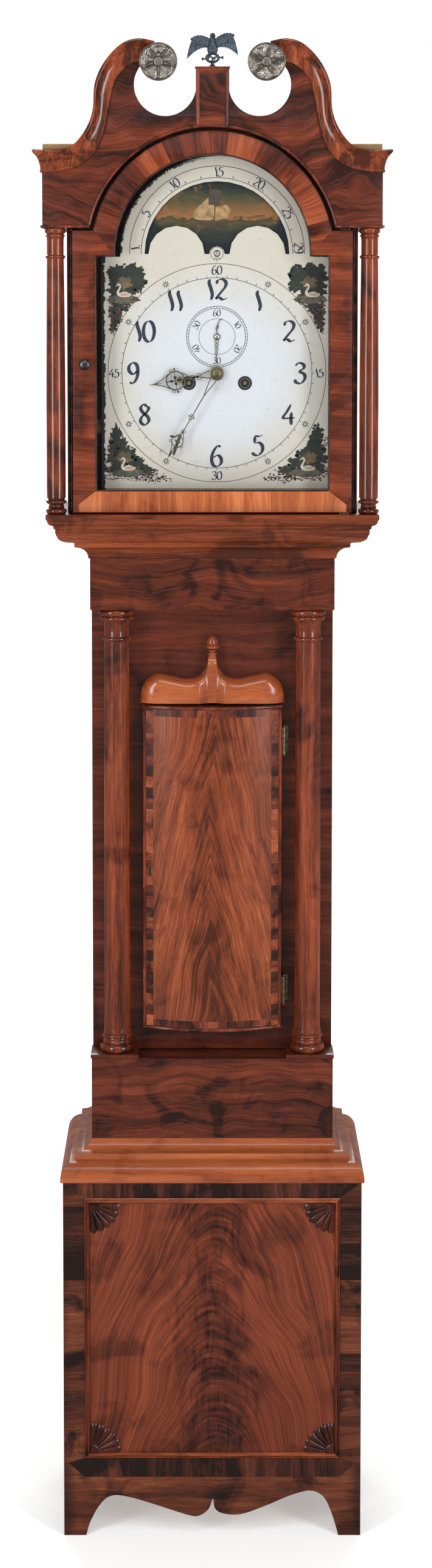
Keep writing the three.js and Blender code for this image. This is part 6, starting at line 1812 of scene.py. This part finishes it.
def makeHands():
    h, m, s = edges("hour_hand"), edges("minute_hand"), edges("seconds_hand")
    hourDepth = (h["d0"], h["d0"] + 1.2)
    minuteDepth = (m["d0"], m["d0"] + 1.2)
    secondsZ = dialZ + 54.7

    def hour(pen):
        pen["ring"](0, 0, 8.6, 4.8)
        for side in (-1, 1):
            pen["line"](flow([(side * 5.5, 8), (side * 4.6, 16), (side * 1.6, 24), (side * 0.8, 30)], 5),
                1.5)
            scroll(pen, side * 1.5, 24, 4.4, side, 1)
            scroll(pen, side * 1.2, 40, 3.6, side, -1)
            pen["line"](flow([(side * 0.8, 30), (side * 1.0, 38), (side * 3.6, 44), (side * 9.4, 51)], 5),
                1.2)
            pen["line"](flow([(side * 11.2, 73), (side * 5.4, 82), (side * 2.4, 90), (side * 0.5, 95)],
                5), 1.5)
            pen["dot"](side * 17.2, 62.5, 1.9)
            scroll(pen, side * 15, 66, 3.2, side, 1, 1.0)
            pen["dot"](side * 4.8, 63.4, 2.6)
            pen["line"](flow([(side * 1.5, 52), (side * 4.5, 55), (side * 3.0, 59)], 4), 1.1)
        pen["line"]([(0, 28), (0, 48.6)], 1.7)
        pen["ring"](0, 63.4, 13.9, 2.2)
        pen["line"]([(0, 48.5), (0, 78.2)], 1.5)
        pen["line"]([(-13, 63.4), (13, 63.4)], 1.2)
        pen["dot"](0, 57.5, 3.6)
        pen["dot"](0, 69.5, 2.4)
        pen["line"]([(0, 84), (0, 95), (0, 103.6)], [0.9, 1.8, 0.7])

    collet = turnedForwardPiece("hourBoss", [(0, hourDepth[0] - 0.2), (10.8, hourDepth[0] - 0.2),
        (11.0, hourDepth[1] + 0.6), (10.2, hourDepth[1] + 1.0), (6.4, hourDepth[1] + 0.8),
        (0, hourDepth[1] + 0.8)], dialX, dialZ, 40)
    collet.data.materials.append(metals["gilt"])
    handPiece("hourHandPierced", "hour_hand", "hour_train", hour, 259.9, dialX, dialZ, *hourDepth,
        [collet])

    def minute(pen):
        pen["ring"](0, 0, 5.0, 2.6)
        for side in (-1, 1):
            pen["line"](flow([(side * 4.6, 3.5), (side * 3.8, 16), (side * 1.6, 30), (side * 0.4, 38)],
                5), 1.4)
            pen["dot"](side * 3.6, 76.0, 1.4)
            pen["dot"](side * 2.0, 79.6, 1.1)
            pen["dot"](side * 2.2, 73.0, 1.1)
            scroll(pen, side * 0.8, 98, 3.6, side, 1, 1.0)
            pen["line"](flow([(side * 0.4, 100), (side * 2.2, 105), (side * 6.4, 111)], 5), 1.1)
            pen["line"](flow([(side * 6.2, 125), (side * 3.0, 131), (side * 1.9, 137), (side * 0.3, 143)],
                5), 1.2)
            scroll(pen, side * 9, 120, 3.0, side, 1, 1.0)
            pen["dot"](side * 3.0, 118.5, 1.7)
        pen["line"]([(0, 37), (0, 60), (0, 109.8)], [1.7, 1.5, 1.4])
        pen["line"]([(-4.6, 76), (4.6, 76)], 1.0)
        pen["ring"](0, 118.5, 8.5, 1.5)
        pen["line"]([(0, 110), (0, 127)], 1.1)
        pen["line"]([(0, 127), (0, 139), (0, 150)], [1.0, 2.6, 0.6])

    pin = turnedForwardPiece("minuteBoss", [(0, minuteDepth[0] - 0.3), (6.0, minuteDepth[0] - 0.3),
        (6.2, minuteDepth[1] + 0.4), (4.8, minuteDepth[1] + 1.1), (2.7, minuteDepth[1] + 1.3),
        (2.4, minuteDepth[1] + 3.2), (0, minuteDepth[1] + 3.6)], dialX, dialZ, 32)
    pin.data.materials.append(metals["gilt"])
    handPiece("minuteHandPierced", "minute_hand", "minute_train", minute, 210.2, dialX, dialZ,
        *minuteDepth, [pin])

    def seconds(pen):
        pen["ring"](0, 0, 4.0, 2.0)
        for k in range(4):
            pen["ring"](0, 6.8 + 5.6 * k, 2.5 - 0.2 * k, 0.8)
        pen["line"]([(0, 26), (0, 36), (0, 42)], [1.4, 1.0, 0.4])
        pen["line"](flow([(0, -4), (0.6, -12), (-1.0, -20), (-3.4, -25.5), (-7.4, -27.4)], 6), 1.0)
        scroll(pen, 0, -10, 2.8, 1, -1, 0.8)
        scroll(pen, 0, -13, 2.8, -1, -1, 0.8)

    dot = turnedForwardPiece("secondsBoss", [(0, s["d0"]), (3.9, s["d0"]), (3.6, s["d0"] + 1.6),
        (1.6, s["d0"] + 2.2), (0, s["d0"] + 2.4)], dialX, secondsZ, 24)
    dot.data.materials.append(metals["steel"])
    handPiece("secondsHandPierced", "seconds_hand", "seconds_train", seconds, 182.0, dialX, secondsZ,
        s["d0"], s["d0"] + 0.7, [dot])


makeHands()
print("stage: hands")


# bell, pendulum, weights and their lines

movementSettings = {"lineRadius": 1.2, "lineStart": 1778.3, "lineTied": 1710.8, "pulleyRadius": 18.8}


def makeBell():
    e = edges("bell")
    x, depth, low, high, wide = (e["x0"] + e["x1"]) / 2, (e["d0"] + e["d1"]) / 2, e["z0"], e["z1"], (
        e["x1"] - e["x0"]) / 2
    outer = [(wide, low), (wide - 0.4, low + 1.0), *[(6.5 + (wide - 9.5) * math.cos(math.radians(a)),
        low + 3 + (high - low - 3.4) * math.sin(math.radians(a)))
        for a in range(0, 91, 9)]]
    inner = [(r - 2.2, z - 1.6) for r, z in reversed(outer[2:])]
    bell = turnedPiece("bellCast", [*outer, *inner, (wide - 2.6, low), (wide, low)], x, depth, 64, 40)
    dress(bell, "case", metals["bell"], "bell", slot="bronze")


def makePendulum():
    e = edges("pendulum")
    top, x, depth = e["z1"], (e["x0"] + e["x1"]) / 2, (e["d0"] + e["d1"]) / 2
    bob = e["z0"] + (e["x1"] - e["x0"]) / 2
    wide, thick = (e["x1"] - e["x0"]) / 2, (e["d1"] - e["d0"]) / 2
    lens = turnedForwardPiece("bobLens", [
        (0, depth - thick), *[(wide * 0.97 * math.sin(math.radians(a)),
            depth - thick * math.cos(math.radians(a)))
            for a in range(10, 81, 7)],
        (wide - 0.4, depth - 1.8), (wide, depth - 1.2), (wide, depth + 1.2), (wide - 0.4, depth + 1.8),
        *[(wide * 0.97 * math.sin(math.radians(a)), depth + thick * math.cos(math.radians(a)))
            for a in range(80, 9, -7)],
        (0, depth + thick)], x, bob, 72, 30)
    lens.data.materials.append(metals["brass"])
    spring = blockPiece("suspensionSpring", x - 4, x + 4, depth - 0.3, depth + 0.3, top - 14, top, 0.1)
    block = blockPiece("suspensionBlock", x - 6, x + 6, depth - 2.5, depth + 2.5, top - 22, top - 13, 0.5)
    rod = blockPiece("pendulumRod", x - 2.6, x + 2.6, depth - 1.5, depth + 1.5, bob + 40, top - 20, 0.5)
    for piece, finish in ((spring, "steel"), (block, "brass"), (rod, "steel")):
        piece.data.materials.append(metals[finish])
    both = joined("pendulumWhole", [lens, spring, block, rod], 35)
    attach(both, "pendulum")
    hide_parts("pendulum")


def makeWeights(s):
    for label in ("going", "strike"):
        e = edges(label + "_weight")
        x, depth, low = (e["x0"] + e["x1"]) / 2, (e["d0"] + e["d1"]) / 2, e["z0"]
        wide, wheel = (e["x1"] - e["x0"]) / 2, low + 234.0
        spread = s["pulleyRadius"] + s["lineRadius"] + gap
        top = low + 190.0
        body = turnedPiece(label + "WeightBody", [(0, low), (wide - 4, low),
            *arc(wide - 3, low + 3, 3, 3, -90, 0, 5), (wide, top - 5),
            *arc(wide - 5, top - 5, 5, 5, 0, 90, 6), (4, top), (3, top + 1), (2.6, top + 8),
            (2.4, wheel - 26), (0, wheel - 26)],
            x, depth, 48, 30)
        body.data.materials.append(metals["iron"])
        parts = [body]
        for d in (depth - 5.2, depth + 3.6):
            parts.append(blockPiece("cheek", x - 4, x + 4, d, d + 1.6, wheel - 26.8, wheel + 6, 0.4))
        parts.append(blockPiece("yoke", x - 4, x + 4, depth - 5.2, depth + 5.2, wheel - 26.8,
            wheel - 22.8, 0.4))
        r = s["pulleyRadius"]
        parts.append(turnedForwardPiece("pulley", [(0, depth - 3), (r + 1.4, depth - 3),
            (r + 1.3, depth - 2.4), (r - 0.8, depth - 1.2), (r - 1.4, depth), (r - 0.8, depth + 1.2),
            (r + 1.3, depth + 2.4), (r + 1.4, depth + 3), (0, depth + 3)], x, wheel, 44))
        parts.append(turnedForwardPiece("pulleyPin", [(0, depth - 5.4), (1.6, depth - 5.4),
            (1.6, depth + 5.4), (0, depth + 5.4)], x, wheel, 16))
        for piece, finish in zip(parts[1:], ("brass", "brass", "brass", "brass", "steel")):
            piece.data.materials.append(metals[finish])
        whole = joined(label + "WeightWhole", parts, 35)
        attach(whole, label + "_weight")
        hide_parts(label + "_weight")
        under = [(x - spread * math.cos(math.pi * k / 20), depth,
            wheel - spread * math.sin(math.pi * k / 20)) for k in range(21)]
        turn = beadPiece(label + "LineTurn", under, s["lineRadius"], paints["gut"], 9, 2.0, twist=900.0,
            lobes=0.1)
        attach(turn, label + "_weight")
        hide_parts(label + "_line")
        for part, sign, end in (("Drawn", -1, s["lineStart"]), ("Tied", 1, s["lineTied"])):
            run = [(x + sign * spread, depth, wheel + (end - wheel) * k / 60) for k in range(61)]
            fall = beadPiece(label + "Line" + part, run, s["lineRadius"], paints["gut"], 9, 2.4,
                twist=900.0, lobes=0.1)
            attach(fall, "case")
            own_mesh(fall)


makeBell()
makePendulum()
makeWeights(movementSettings)
print("stage: movement")

# finishes for the nodes that are carried over

def clearGlass():
    f = Finish("clearGlass")
    ripple = f.bump(f.noise(f.spot(), 0.02, 2.0), 0.4, 0.1)
    return f.use(Base_Color=(0.03, 0.035, 0.035, 1), Roughness=0.03, Alpha=0.05, Specular_IOR_Level=0.5,
        Normal=ripple)


keptFinishes = {
    # the case sides take the darker mahogany, and the frame behind the hood door takes it as painted shade
    "base_side_left": woods["side"], "base_side_right": woods["side"], "waist_side_left": woods["side"],
    "waist_side_right": woods["side"], "hood_side_left": woods["side"], "hood_side_right": woods["side"],
    "base_floor": woods["dealLevel"], "back_board": woods["deal"], "seat_board": woods["dealLevel"],
    "hood_roof": woods["dealLevel"], "hood_front_frame": woods["side"], "lower_frieze": woods["frieze"],
    "upper_frieze": woods["frieze"], "waist_board": woods["waistBoard"], "lock_bolt": metals["steel"],
    "dial": dialPaint(), "moon_disc": moonPaint(), "hood_glass": clearGlass(),
    "anchor": metals["steel"], "hammer": metals["steel"],
}
for node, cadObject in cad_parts.items():
    if cadObject.hide_render:
        continue
    finish = keptFinishes.get(node, metals["brass"])
    for number in range(max(1, len(cadObject.data.materials))):
        if len(cadObject.data.materials):
            cadObject.data.materials[number] = finish
        else:
            cadObject.data.materials.append(finish)
    if node in keptFinishes:
        weld = cadObject.modifiers.new("weld", "WELD")
        weld.merge_threshold = 0.00001
        bevel = cadObject.modifiers.new("softEdge", "BEVEL")
        bevel.width = 0.7 * mm
        bevel.segments = 2
        bevel.limit_method = "ANGLE"
print("stage: carried-over nodes")
